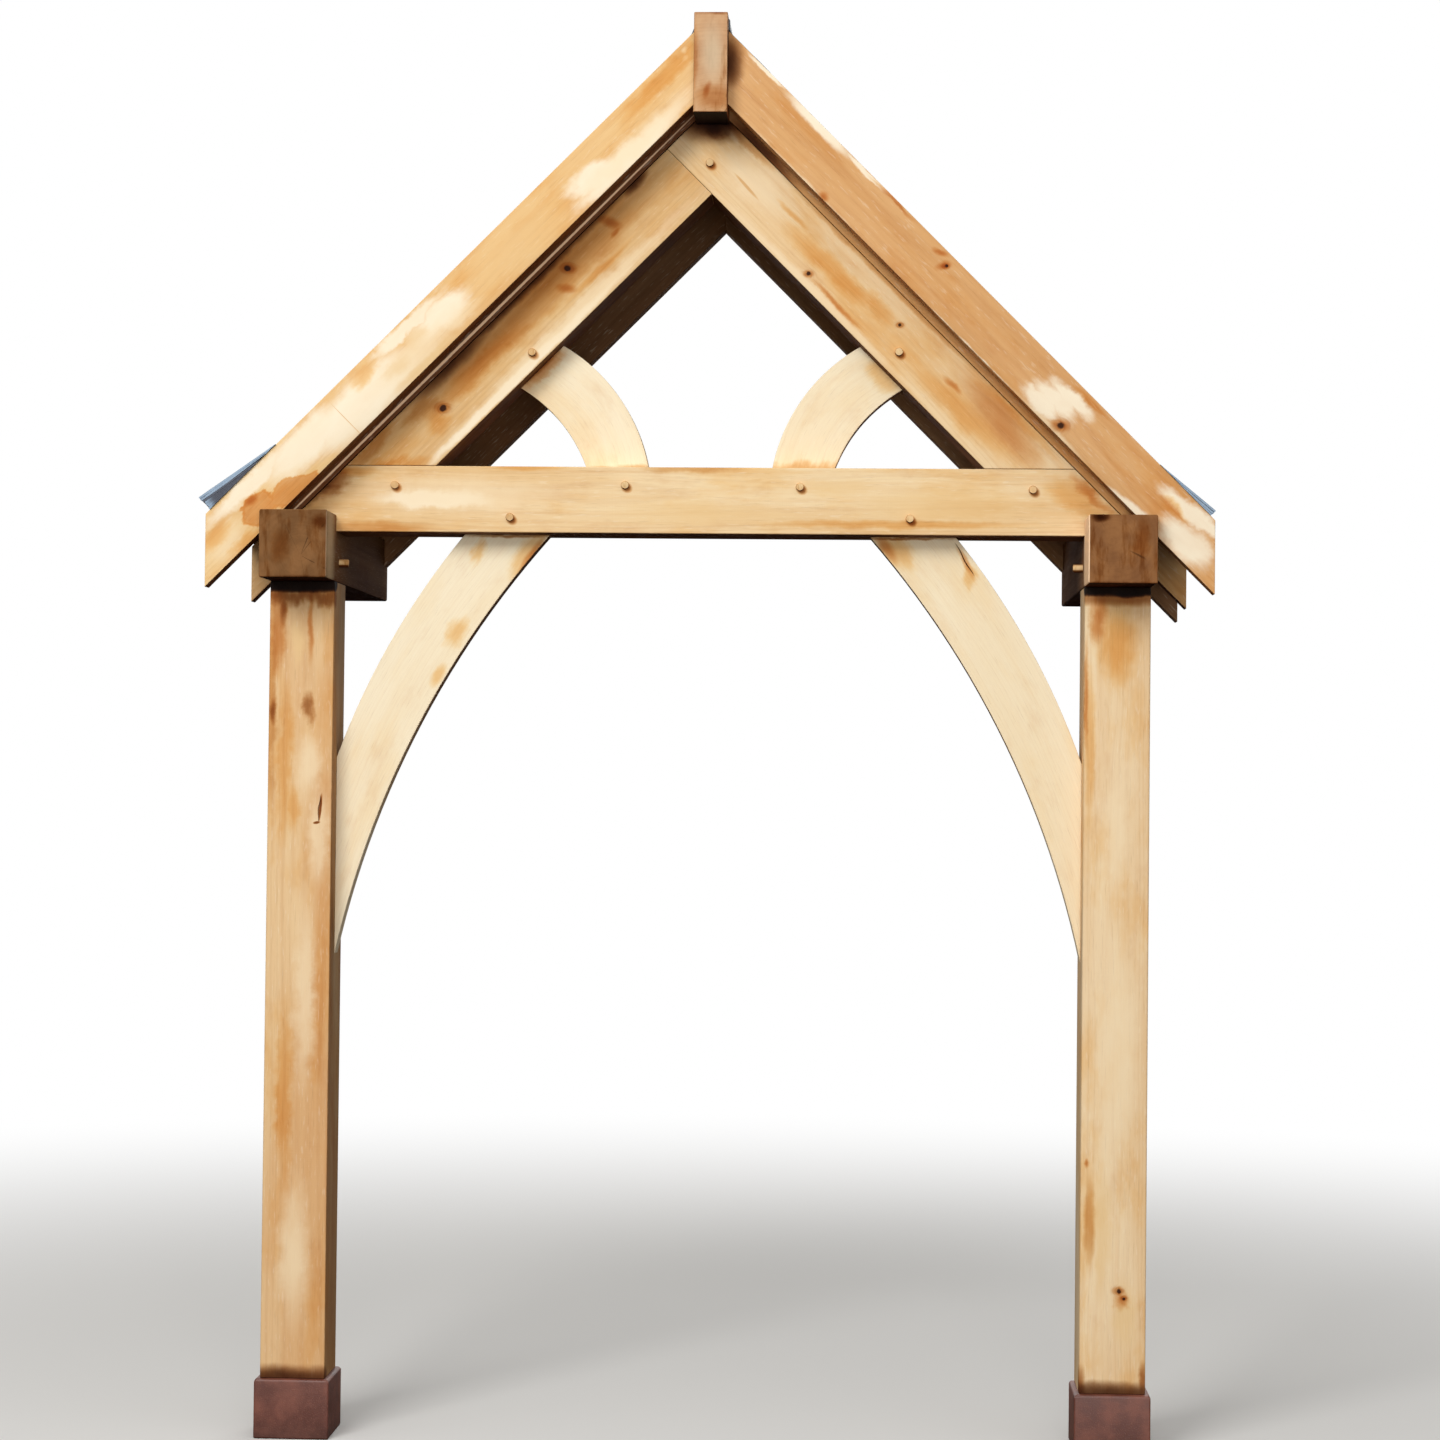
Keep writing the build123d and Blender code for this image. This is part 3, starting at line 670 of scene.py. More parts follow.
def marks_of(node):
    """A timber's marks as ellipsoids: the centre, half the sizes, and the turn from level in degrees."""
    corner, run, side, y = FACES[node]
    grain_turn = degrees(atan2(run[1], run[0]))
    lean = -1 if run[0] * side[1] - run[1] * side[0] > 0 else 1
    spots = [(paint, on_face(node, far, across), (long / MM / 2, MARK_DEPTH, wide / MM / 2),
              grain_turn + lean * sum(turn))
             for paint, places in MARKS.get(node, {}).items() for far, across, long, wide, *turn in places]
    spots += [(*mark, 0) for mark in SIDE_MARKS.get(node, ())]
    low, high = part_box(node)
    # a ring of stain and painted shadow below and right of each peg that goes through this face
    spots += [("ring", (x + PEG_SHADOW_SHIFT[0], truss_y, z + PEG_SHADOW_SHIFT[1]), RING_RADII, RING_TILT)
              for x, z, _ in PEG_PLACES if y == truss_y and low.x < x < high.x and low.z < z < high.z]
    return spots


def knots_of(node):
    """A timber's knots as x, z and radius."""
    places = [(on_face(node, far, across), size / MM) for far, across, size in KNOTS.get(node, ())]
    return [(x, z, size) for (x, _, z), size in places]


print("marks:", sum(len(places) for paints in MARKS.values() for places in paints.values()))

# %% [markdown]
# ### Drying cracks
# Green oak opens as it dries. A painted line would stay flat, so each crack is cut: a thin lens that narrows
# with depth is taken out of the timber.

# %% Cut the cracks
# from (x, z) to (x, z), how wide and how deep
CRACKS = {"curved_brace_right": ((0.622, -1.176), (0.672, -1.262), 0.0034, 0.014),
          "post_left": ((-0.978, -1.828), (-0.983, -1.902), 0.0028, 0.012)}
CRACK_STEPS, CRACK_LEAD, CRACK_BEND, CRACK_THINNEST = 15, 0.004, 0.0016, 0.00008
CRACK_FLOOR = 0.15


def lens_cutter(start, end, wide, deep, y):
    """A thin closed wedge to cut a crack, narrower with depth.

    Half its width is wide / 2 * sin(pi * share)^0.7, and it bends a little from side to side.
    """
    share = np.linspace(0, 1, CRACK_STEPS)
    run = np.array(end) - np.array(start)
    side = np.array((-run[1], run[0])) / np.hypot(*run)
    half = np.maximum(wide / 2 * np.sin(pi * share) ** 0.7, CRACK_THINNEST)
    bend = CRACK_BEND * np.sin(2.6 * pi * share)
    middle = np.array(start) + run * share[:, None] + side * bend[:, None]
    shell = bmesh.new()
    made = [[[shell.verts.new((x, depth, z)) for x, z in middle + side * half[:, None] * narrow * sign]
             for sign in (1, -1)]
            for depth, narrow in ((y - CRACK_LEAD, 1.0), (y, 1.0), (y + deep, CRACK_FLOOR))]
    last = CRACK_STEPS - 1
    for near, far in zip(made[:-1], made[1:]):
        for i in range(last):
            shell.faces.new((near[0][i], near[0][i + 1], far[0][i + 1], far[0][i]))
            shell.faces.new((near[1][i], far[1][i], far[1][i + 1], near[1][i + 1]))
        shell.faces.new((near[0][0], far[0][0], far[1][0], near[1][0]))
        shell.faces.new((near[0][last], near[1][last], far[1][last], far[0][last]))
    for left, right in (made[0], made[-1]):
        for i in range(last):
            shell.faces.new((left[i], right[i], right[i + 1], left[i + 1]))
    bmesh.ops.recalc_face_normals(shell, faces=shell.faces)
    return mesh_of(shell, "cutter")


def cracked(mesh, crack, y):
    """The mesh with one crack cut into its front face."""
    cutter = in_scene("cutter", lens_cutter(*crack, y))
    timber = in_scene("timber", mesh)
    cut = timber.modifiers.new("crack", "BOOLEAN")
    cut.operation, cut.solver, cut.object = "DIFFERENCE", "EXACT", cutter
    graph = bpy.context.evaluated_depsgraph_get()
    result = bpy.data.meshes.new_from_object(timber.evaluated_get(graph))
    for thing in (cutter, timber):
        bpy.data.objects.remove(thing)
    print("crack cut:", len(mesh.polygons), "to", len(result.polygons), "faces")
    return result

# %% [markdown]
# ## The straight timbers
# Posts, plates, tie and ridge are boxed heart, so the pith lies inside them. The rafters are sawn from
# bigger trunks, and their pith lies outside the section, which gives them calmer, wider bands.

# %% Dress the straight timbers
UP, AWAY, LEVEL = (0, 0, 1), (0, 1, 0), (1, 0, 0)
RISE_LEFT, RISE_RIGHT = (sin(slope), 0, cos(slope)), (-sin(slope), 0, cos(slope))
HEAVY, MEDIUM, FINE = 0.0024, 0.0020, 0.0016
# slot and rounding, then each node with its grain, the pith from the middle of its box, light, tan, streaks
STRAIGHT = {
    ("frame_oak", HEAVY): [
        ("post_left", UP, (0.02, 0.03, 0), "#ebcb9c", "#deb07c", 0.8),
        ("post_right", UP, (-0.03, 0.01, 0), "#f3dab2", "#e9c697", 0.7),
        # the plates' sides are coloured far darker than the posts as painted shade under the roof
        ("wall_plate_left", AWAY, (0.02, 0, -0.03), "#8f6a46", "#6f4c2e", 1.0),
        ("wall_plate_right", AWAY, (-0.03, 0, 0.02), "#946c48", "#754f30", 1.0),
        ("tie_beam", LEVEL, (0, 0.02, 0.02), "#f2d8ac", "#e8c490", 0.9),
        ("principal_rafter_left", RISE_LEFT, (0, 0.03, 0.05), "#ecd0a0", "#dcb27a", 0.9),
        ("principal_rafter_right", RISE_RIGHT, (0, 0.03, 0.04), "#f1d9b0", "#e9c490", 0.8),
        # the ridge's sides are coloured dark as painted shade under the roof
        ("ridge_beam", AWAY, (0.01, 0, -0.16), "#9a6c42", "#7c5230", 1.0),
    ],
    ("barge_oak", FINE): [
        ("barge_rafter_left", RISE_LEFT, (0, 0.09, 0.05), "#f0d09a", "#e8bb7e", 0.8),
        ("barge_rafter_right", RISE_RIGHT, (0, 0.10, 0.03), "#dfaf79", "#d6a167", 0.8),
    ],
    ("rafter_oak", FINE): [
        # the left front rafter is coloured dark as painted shade under the barge; the right one has the oak's
        # own colour
        ("front_rafter_left", RISE_LEFT, (0, 0.08, 0.02), "#7a4e30", "#5c3820", 1.0),
        ("front_rafter_right", RISE_RIGHT, (0, 0.08, 0.02), "#e6bd86", "#cf9c62", 1.0),
        ("middle_rafter_left", RISE_LEFT, (0, 0.08, 0.03), "#e2bb88", "#c79a64", 1.0),
        ("middle_rafter_right", RISE_RIGHT, (0, -0.08, 0.02), "#e2bb88", "#c79a64", 1.0),
        # the wall rafters are coloured darker than the middle rafters as painted shade under the roof
        ("wall_rafter_left", RISE_LEFT, (0, 0.09, 0.02), "#96714e", "#785436", 1.0),
        ("wall_rafter_right", RISE_RIGHT, (0, 0.09, 0.03), "#96714e", "#785436", 1.0),
    ],
    ("boards", FINE): [
        ("eaves_fillet_left", AWAY, (0, 0, 0.08), "#b58c60", "#94693f", 1.0),
        ("eaves_fillet_right", AWAY, (0, 0, 0.08), "#b58c60", "#94693f", 1.0),
    ],
}
# what only some have: their own end grain, how strongly painted shade darkens the undersides, and a duller
# sheen
SAWN_END = ("#b5844f", "#7c5130")
OWN = {
    "ridge_beam": {"end": ("#d3aa80", "#c2936a"), "under": 1.4},
    "wall_plate_left": {"end": ("#8a613c", "#735031"), "sheen": 0.02},
    "wall_plate_right": {"end": ("#9a6b42", "#825736"), "sheen": 0.02},
    "barge_rafter_left": {"end": ("#d8a56c", "#c08a54")},
    "barge_rafter_right": {"end": ("#c99664", "#b07c4c"), "under": -0.2},
    "middle_rafter_left": {"end": ("#f2d8a8", "#e6c188")},
    "middle_rafter_right": {"end": ("#f2d8a8", "#e6c188")},
    "wall_rafter_left": {"under": -0.5},
    "wall_rafter_right": {"under": -0.5},
}
GRAIN_APART = 3.7      # each timber's grain starts this much further on, so that no two are alike
number = 0
for (slot, edge), timbers in STRAIGHT.items():
    for node, along, pith, light, tan, streaks in timbers:
        mesh = wood_copy(node, edge)
        if node in CRACKS:
            mesh = cracked(mesh, CRACKS[node], truss_y)
        low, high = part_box(node)
        mark_grain(mesh, along, (low + high) / 2 + Vector(pith), number * GRAIN_APART)
        marks = marks_of(node) if node in FACES else ()
        own = {"end": SAWN_END, "streaks": streaks, **OWN.get(node, {})}
        finish = oak(f"oak_{node}", light, tan, along, marks, knots_of(node), **own)
        add_piece(f"{node}_dressed", mesh, finish, slot, node)
        number += 1
print("straight timbers:", number)

# %% [markdown]
# ## The curved timbers
# Braces and struts are cut from trunks that grew bent, so the grain runs round with the curve. Each one gets
# the centre of its own arc: from the chord's ends and the rise between them,
# radius = (chord squared / 4 + rise squared) / (2 * rise).

# %% Centres of the curves


def arc_centre(start, end, rise):
    """Centre and radius of the arc from start to end. A positive rise lies left of the chord."""
    chord = hypot(end[0] - start[0], end[1] - start[1])
    left = (-(end[1] - start[1]) / chord, (end[0] - start[0]) / chord)
    radius = (chord * chord / 4 + rise * rise) / (2 * abs(rise))
    inward = rise - (radius if rise > 0 else -radius)
    return ((start[0] + end[0]) / 2 + left[0] * inward, (start[1] + end[1]) / 2 + left[1] * inward), radius


BRACE_REACH, BRACE_DROP, BRACE_HOLLOW = 0.541, 1.074, 0.077
STRUT_FOOT, STRUT_HEAD, STRUT_HEAD_Z, STRUT_BULGE = 0.157, 0.378, -0.6797, -0.043
brace_foot, brace_head = (-post_inner, tie_bottom - BRACE_DROP), (-post_inner + BRACE_REACH, tie_bottom)
brace_curve = arc_centre(brace_foot, brace_head, BRACE_HOLLOW)
strut_curve = arc_centre((-STRUT_FOOT, tie_top), (-STRUT_HEAD, STRUT_HEAD_Z), STRUT_BULGE)
print("brace radius", round(brace_curve[1], 3), "strut radius", round(strut_curve[1], 3))

# %% Dress the curved timbers
for kind, (centre, radius) in (("curved_brace", brace_curve), ("curved_strut", strut_curve)):
    for side, turn in (("left", 1), ("right", -1)):
        node = f"{kind}_{side}"
        mesh = wood_copy(node, MEDIUM)
        if node in CRACKS:
            mesh = cracked(mesh, CRACKS[node], curved_y)
        mark_curved_grain(mesh, (centre[0] * turn, curved_y - 0.05 * turn, centre[1]), turn)
        finish = oak(f"oak_{node}", "#faebcc", "#f6e2bd", (0.5 * turn, 0, 0.87), marks_of(node),
                     curve=radius, streaks=0.4, cloudy=0.15)
        add_piece(f"{node}_dressed", mesh, finish, "frame_oak", node)
print("curved timbers: 4")

# %% [markdown]
# ## Surfaces as arrays
# Slates, boards, lead and pegs are not in the solids one by one. Each is a closed slab: a grid of points for
# its top, the same grid for its underside, and a wall round the rim. Many slabs are computed in one array,
# a row of numbers for each, so no loop runs over points.

# %% Closed slabs


def slab_faces(across, along):
    """The quads of a closed slab with two grids of across by along points: top, underside and rim."""
    index = np.arange(2 * across * along).reshape(2, across, along)

    def sheet(grid):
        return np.stack([grid[:-1, :-1], grid[1:, :-1], grid[1:, 1:], grid[:-1, 1:]], axis=-1).reshape(-1, 4)

    def rim(grid):
        return np.concatenate([grid[:-1, 0], grid[-1, :-1], grid[:0:-1, -1], grid[0, :0:-1]])

    top, under = rim(index[0]), rim(index[1])
    wall = np.stack([under, np.roll(under, -1), np.roll(top, -1), top], axis=1)
    return np.concatenate([sheet(index[0]), sheet(index[1])[:, ::-1], wall])


def slabs_mesh(name, points):
    """One mesh from an array of slabs, shaped (slabs, top and underside, across, along, xyz).

    The faces are turned round where the space that they enclose, the sum of (edge x edge) . corner, is
    negative.
    """
    count, _, across, along, _ = points.shape
    faces = slab_faces(across, along)
    corners = points[0].reshape(-1, 3)[faces]
    first, second, third = (corners[:, i] - corners[:, 0] for i in (1, 2, 3))
    if np.sum((np.cross(first, second) + np.cross(second, third)) * corners[:, 0]) < 0:
        faces = faces[:, ::-1]
    every = (faces[None] + np.arange(count)[:, None, None] * 2 * across * along).reshape(-1, 4)
    mesh = bpy.data.meshes.new(name)
    mesh.from_pydata(points.reshape(-1, 3).tolist(), [], every.tolist())
    return smoothed(mesh, 35)


def on_slope(side, distance, rise, y):
    """Points on a roof slope: so far down from the boards' apex, so far above the boards, and at this y."""
    x = side * (distance * cos(slope) + rise * sin(slope))
    z = deck_apex - distance * sin(slope) + rise * cos(slope)
    return np.stack(np.broadcast_arrays(x, y, z), axis=-1)

# %% [markdown]
# ## Roof boards
# The boards run level from the wall to the outer rafters, edge to edge, and show from below between the
# rafters. One flat sheet would do for the shape, but the joints give the soffit its scale, so the sheet is
# sawn into boards with a gap of 2 mm.

# %% Boards
BOARD_WIDTH, BOARD_GAP, BOARD_EASE = 0.146, 0.002, 0.0012
BOARD_PITH = (0.7, -0.9)
END_GAP = 0.001


def boards_mesh(side):
    """Boards as slabs: distance runs down the slope in equal steps, the edges' corners eased by 1 mm."""
    top_end = ridge_side / cos(slope)
    count = int(round((tail_distance - top_end) / BOARD_WIDTH))
    edges = np.linspace(top_end, tail_distance, count + 1)
    share = np.array([0.0, 0.012, 0.988, 1.0])
    ease = np.array([BOARD_EASE, 0.0, 0.0, BOARD_EASE])[:, None]
    start, stop = edges[:-1] + BOARD_GAP / 2, edges[1:] - BOARD_GAP / 2
    start[0], stop[-1] = edges[0], edges[-1]
    distance = start[:, None] + (stop - start)[:, None] * share
    y = np.array([barge_back_y + END_GAP, barge_back_y / 2, -END_GAP])
    rise = np.empty((count, 2, len(share), len(y)))
    rise[:, 0], rise[:, 1] = -ease, ease - deck_thickness
    plumb_end = np.zeros((count, 1, len(share), 1))
    plumb_end[-1, :, 2:] = plumb_end[0, :, :2] = 1.0
    run = distance[:, None, :, None] + rise * plumb_end
    return slabs_mesh(f"boards_{side}", on_slope(side, run, rise, y))


for side, word in SIDES:
    mesh = boards_mesh(side)
    mark_grain(mesh, AWAY, (side * BOARD_PITH[0], 0, BOARD_PITH[1]), 5.0 + side)
    finish = oak(f"boards_{word}", "#c79b6b", "#ab7f50", AWAY)
    piece = add_piece(f"roof_boards_{word}_laid", mesh, finish, "boards", f"roof_boards_{word}")
    print(piece.name, len(mesh.polygons), "faces")

# %% [markdown]
# ## Slates
# Each slate lies on the two below it, so its tail stands higher than its head, and three thicknesses overlap
# everywhere. The slates are split by hand: no two have quite the same thickness, edge or width. A bump
# pattern could fake the courses from above, but the eaves and verge show the stack of thin edges, so every
# slate is its own slab. The lowest courses ride up on the eaves fillet and lap over the outer rafters.

# %% Slate material


def slate_finish():
    """Riven slate: cloudy blue-grey, one tone to a slate, with scaly relief and pale chipped edges."""
    m = Recipe(bpy.data.materials.new("slate"))
    place = m.place()
    cloud = m.noise(place, 9.0, 4.0, 0.6)
    scales = m.noise(place, (38.0, 60.0, 38.0), 5.0, 0.62)
    grit = m.noise(place, 420.0)
    edge = m.step(m.attribute("edge", "Fac"), 0.1, 0.9)
    colour = m.mix(m.attribute("slate_tone", "Fac"), "#3f434f", "#6b7280")
    colour = m.mix(m.step(cloud, 0.35, 0.7), colour, "#565a66")
    colour = m.mix(m.step(scales, 0.5, 0.75) * 0.35, colour, "#7d8796")
    colour = m.mix(m.step(m.noise(place, 3.0, 3.0), 0.58, 0.75) * 0.3, colour, "#5a5246")
    colour = m.mix(edge * (scales * 0.7 + 0.35), colour, "#9fb8cf")
    return m.finish(colour, cloud * 0.25 + 0.42, scales * 0.9 + grit * 0.25, 0.0012, 0.7,
                    **{"Specular IOR Level": 0.45})


# %% Lay the slates
EAVES_CUT, EAVES_COURSE = 0.034, 0.300
EAVES_LIFTS = {"left": 0.043, "right": 0.019}
eaves_distance = tail_distance - EAVES_CUT
tilt_distance = eaves_distance - EAVES_COURSE
SLATE_LENGTH, SLATE_GAUGE, SLATE_THICK = 0.400, 0.165, 0.0058
TAIL_RISE, HEAD_RISE = 0.0130, 0.0004
WIDE, NARROWER, AT_VERGE = 0.26, 0.235, 0.2      # widths of slates, course by course and over the verge
VERGE_LAP, SIDE_GAP, RAGGED, THINNEST = 0.006, 0.0012, 0.0022, 0.0006
LAYERS_AT_VERGE, SHORTEST, STEP_BACK = 3, 0.03, 0.003
# the short slates under the eaves course: set back, length, rise of the tail and of the head
UNDERLAYERS = ((0, 0.20, 0.0004, 0.0003), (0.0005, 0.30, 0.0066, 0.0004))
TAIL_EASE, SIDE_EASE = 0.0014, 0.0012
ACROSS = np.array([0.0, 0.02, 0.5, 0.98, 1.0])
SHARE = np.array([0.0, 0.012, 0.15, 0.38, 0.6, 0.85, 1.0])
GRID = (len(ACROSS), len(SHARE))
rng = np.random.default_rng(41)


def bed(distance, lift):
    """Height of the slates' bed over the boards: nothing, then the rise of the fillet at the eaves."""
    return lift * np.clip((distance - tilt_distance) / EAVES_COURSE, 0, 1)


def row_of_slates(tail, length, ends, rises, width, lift, floor=None, pack=None):
    """One course. rise = bed + tail_rise + (head_rise - tail_rise) * share of the length from the tail.

    The widths vary, the tails are a little out of line, and the thickness wanders by a third of a
    millimetre. A floor keeps the part that lies over an outer rafter above that rafter's top. A pack slate
    fills its share of the wedge between that top and the bed instead. It returns distance down the slope,
    rise and y, each shaped (slates, top and underside, across, along).
    """
    first_y, last_y = ends
    tail_rise, head_rise = rises
    count = max(1, int(round(abs(last_y - first_y) / width)))
    cuts = np.sort(np.linspace(0, 1, count + 1)[1:-1] + rng.uniform(-0.12, 0.12, count - 1) / count)
    cuts = np.concatenate([[0.0], cuts, [1.0]])
    gap = SIDE_GAP * np.sign(last_y - first_y)
    left = first_y + (last_y - first_y) * cuts[:-1] + gap
    right = first_y + (last_y - first_y) * cuts[1:] - gap
    y = left[:, None] + (right - left)[:, None] * ACROSS
    run = tail - rng.uniform(0, RAGGED, (count, GRID[0], 1)) * (1 - SHARE) ** 6 - SHARE * length
    wave = rng.uniform(-0.0003, 0.0003, (count, *GRID))
    thick = SLATE_THICK + rng.uniform(-0.0006, 0.0004, (count, 1, 1)) + wave
    eased = np.zeros(GRID)
    eased[:, 0] = TAIL_EASE
    eased[[0, -1], :] = SIDE_EASE
    eased = eased * rng.uniform(0.4, 1.0, (count, *GRID))
    if pack is None:
        low = bed(run, lift) + tail_rise + (head_rise - tail_rise) * SHARE
        high = low + thick - eased
    else:
        wedge = np.maximum(bed(run, lift) - floor, 0)
        low, high = floor + wedge * pack[0], floor + wedge * pack[1] - eased * 0.5
    if floor is not None:
        low = np.maximum(low, floor)
        high = np.maximum(high, low + THINNEST)
    rise = np.stack([high, low], axis=1)
    return np.stack(np.broadcast_arrays(run[:, None], rise, y[:, None, :, None]))


def head_over(tail, tail_rise, head_rise, length, lift):
    """How long a slate over the outer rafter may be before its top sinks to that rafter's top."""
    share = np.linspace(0, 1, 400)
    top = bed(tail - share * length, lift) + tail_rise + (head_rise - tail_rise) * share + SLATE_THICK
    clear = share[top > slate_bed + 0.0008]
    return float(clear.max() * length) if len(clear) else 0.0


def slates_mesh(side, word):
    """All the slates of one slope, course by course, as one mesh with a tone and an edge value."""
    rows_of, tones = [], []
    lift = EAVES_LIFTS[word]
    over_boards = (-0.0005, barge_back_y)
    over_rafter = (barge_back_y, barge_y - VERGE_LAP)
    tail = eaves_distance - END_GAP
    top_end = ridge_side / cos(slope) + 0.004
    layers = [(tail - back, length, *rises) for back, length, *rises in UNDERLAYERS]
    courses = int(np.ceil((tail - top_end) / SLATE_GAUGE))
    layers += [(tail - number * SLATE_GAUGE, SLATE_LENGTH, TAIL_RISE, HEAD_RISE) for number in range(courses)]
    for number, (low_end, length, tail_rise, head_rise) in enumerate(layers):
        length = min(length, low_end - top_end)
        width = NARROWER if number % 2 else WIDE
        rows_of.append(row_of_slates(low_end, length, over_boards, (tail_rise, head_rise), width, lift))
        tones.append(rng.uniform(0.0, 0.9, rows_of[-1].shape[1]))
        over = head_over(low_end, tail_rise, head_rise, length, lift)
        if over > SHORTEST and number < LAYERS_AT_VERGE:
            part = (tail_rise, head_rise + (tail_rise - head_rise) * (1 - over / length))
            rows_of.append(row_of_slates(low_end, over, over_rafter, part, AT_VERGE, lift, slate_bed))
            # over the verge the slates take the palest tone, but the lowest left layer takes a dark one as
            # painted shade
            tones.append(np.full(rows_of[-1].shape[1], 1.0 if number or word == "right" else 0.1))
    packs = int((lift - slate_bed) / SLATE_THICK + 0.5) if lift > slate_bed else 0
    for number in range(packs):
        fan = (number / packs, (number + 1) / packs)
        length = EAVES_COURSE * (1 - slate_bed / lift)
        low_end = tail - STEP_BACK * (number % 2)
        rows_of.append(row_of_slates(low_end, length, over_rafter, (0, 0), AT_VERGE, lift, slate_bed, fan))
        # the packs take the darkest tone, as painted shade inside the wedge at the verge
        tones.append(np.full(rows_of[-1].shape[1], -0.1))
    tones = np.concatenate(tones)
    mesh = slabs_mesh(f"slates_{word}", on_slope(side, *np.concatenate(rows_of, axis=1)))
    keep(mesh, "slate_tone", np.repeat(tones, len(slab_faces(*GRID))), "FACE")
    # how bright each rim is: tails always a little, sides as the slate's own tone, packs near the tail only,
    # their other rims left dark as painted shade
    rim = np.zeros((len(tones), 2, *GRID))
    rim[:, :, [0, -1], :] = (0.9 * tones)[:, None, None, None]
    rim[:, :, :, 0] = (0.45 + 0.55 * tones)[:, None, None]
    rim[tones < 0, :, :, :3] = (1.0, 0.9, 0.2)
    keep(mesh, "edge", rim.ravel())
    print(mesh.name, len(tones), "slates", len(mesh.polygons), "faces")
    return mesh


slate_material = slate_finish()
for side, word in SIDES:
    add_piece(f"slates_{word}_laid", slates_mesh(side, word), slate_material, "slate", f"slates_{word}")

# %% [markdown]
# ## Lead over the ridge
# A strip of sheet lead is dressed down over the ridge beam and on to the slates. Lead has no sharp corner: it
# is beaten to shape, so the profile is rounded, and the surface wavers where the dresser's blows fell.

# %% Lead
LEAD_THICK, LEAD_LAY = 0.0024, 0.0014
LEAD_REACH, LEAD_SETBACK = 0.150, 0.060


def lead_finish():
    """Weathered lead: dull grey with a pale bloom, darker where water runs."""
    m = Recipe(bpy.data.materials.new("lead"))
    place = m.place()
    bloom = m.noise(place, 6.0, 5.0, 0.65)
    runs = m.noise(place, (40.0, 5.0, 5.0), 3.0)
    colour = m.mix(m.step(bloom, 0.35, 0.7), "#5d6166", "#8d9296")
    colour = m.mix(m.step(runs, 0.55, 0.8) * 0.4, colour, "#4a4d52")
    height = m.noise(place, 30.0) + bloom * 0.3
    return m.finish(colour, bloom * 0.25 + 0.42, height, 0.0015, 0.5, Metallic=0.35)


def lead_mesh():
    """A profile over the ridge, carried along Y: corners turned by short arcs, then thickened outwards."""
    foot = ridge_side + LEAD_REACH * cos(slope)
    top = high_ridge.z
    half = np.array([
        (foot - 0.002, roof_apex - foot + 0.002 + LEAD_LAY),
        (ridge_side + 0.008, roof_apex - ridge_side - 0.008 + LEAD_LAY),
        (ridge_side + LEAD_LAY, roof_apex - ridge_side + 0.010),
        (ridge_side + LEAD_LAY, top - 0.006),
        (ridge_side - 0.006, top + LEAD_LAY),
        (0.0, top + LEAD_LAY + 0.0004),
    ])
    line = np.concatenate([half * (-1, 1), half[:-1][::-1]])
    steps = np.concatenate([[0], np.cumsum(np.hypot(*np.diff(line, axis=0).T))])
    where = np.linspace(0, steps[-1], 90)
    middle = np.stack([np.interp(where, steps, line[:, 0]), np.interp(where, steps, line[:, 1])], axis=1)
    tangent = np.gradient(middle, axis=0)
    tangent /= np.linalg.norm(tangent, axis=1, keepdims=True)
    outward = np.stack([-tangent[:, 1], tangent[:, 0]], axis=1)
    s, t = np.meshgrid(where, np.linspace(front_y + LEAD_SETBACK, -END_GAP, 70), indexing="ij")
    beaten = 0.0002 * (np.sin(s * 95 + np.sin(t * 31) * 2) + np.sin(t * 64 + s * 40))
    upper = middle[:, None, :] + outward[:, None, :] * (LEAD_THICK / 2 + beaten + 0.0004)[..., None]
    lower = middle[:, None, :] - outward[:, None, :] * (LEAD_THICK / 2 - beaten)[..., None]
    both = np.stack([upper, lower])
    points = np.stack([both[..., 0], np.broadcast_to(t, both.shape[:3]), both[..., 1]], axis=-1)
    return slabs_mesh("ridge_lead", points[None])


lead = add_piece("ridge_lead", lead_mesh(), lead_finish(), "lead", "ridge_capping")
print("lead faces", len(lead.data.polygons))

# %% [markdown]
# ## Pegs
# The joints are drawn tight with oak pegs driven right through and left a finger's width proud. A peg is
# cleft and shaved, not turned: its section is a rounded eight-sided one that tapers to the far end.

# %% Pegs
PEG_RADIUS, PEG_SIDES, PEG_CORNERS = 0.0102, 8, 24
PLATE_PEG = (-0.790, -1.2405)      # y and z of the pegs that hold the plates down on the posts' tenons
PLATE_PEG_PROUD = 0.024
# how wide a peg is from its proud end to its far end, at the places below
PEG_WIDTHS = np.array([0.55, 0.88, 1.0, 1.0, 0.93, 0.82, 0.6, 0.2])


def peg_points(centre, axis, length, proud, turn):
    """A closed peg: radius = R * (1 + flat * cos 8 angle) * taper, its ends closed by shrinking rings.

    It starts at its centre and runs along the axis, "y" into the truss or "x" through a plate.
    """
    angle = np.linspace(0, 2 * pi, PEG_CORNERS, endpoint=False) + turn
    far = np.array([-proud - 0.0006, -proud, -proud + 0.002, 0.0, length, length + 0.011, length + 0.014,
                    length + 0.0145])[:, None]
    radius = PEG_RADIUS * PEG_WIDTHS[:, None] * (1 + 0.02 * np.cos(PEG_SIDES * angle))
    lean = 0.02 * np.sin(turn * 3)
    side = radius * np.cos(angle) + far * lean
    rise = radius * np.sin(angle) + far * lean * 0.6
    deep = far + 0.0010 * np.cos(angle + turn) * (far < -0.003)
    order = [side, deep, rise] if axis == "y" else [deep * np.sign(centre[0]), side, rise]
    return np.stack(order, axis=-1) + np.array(centre)


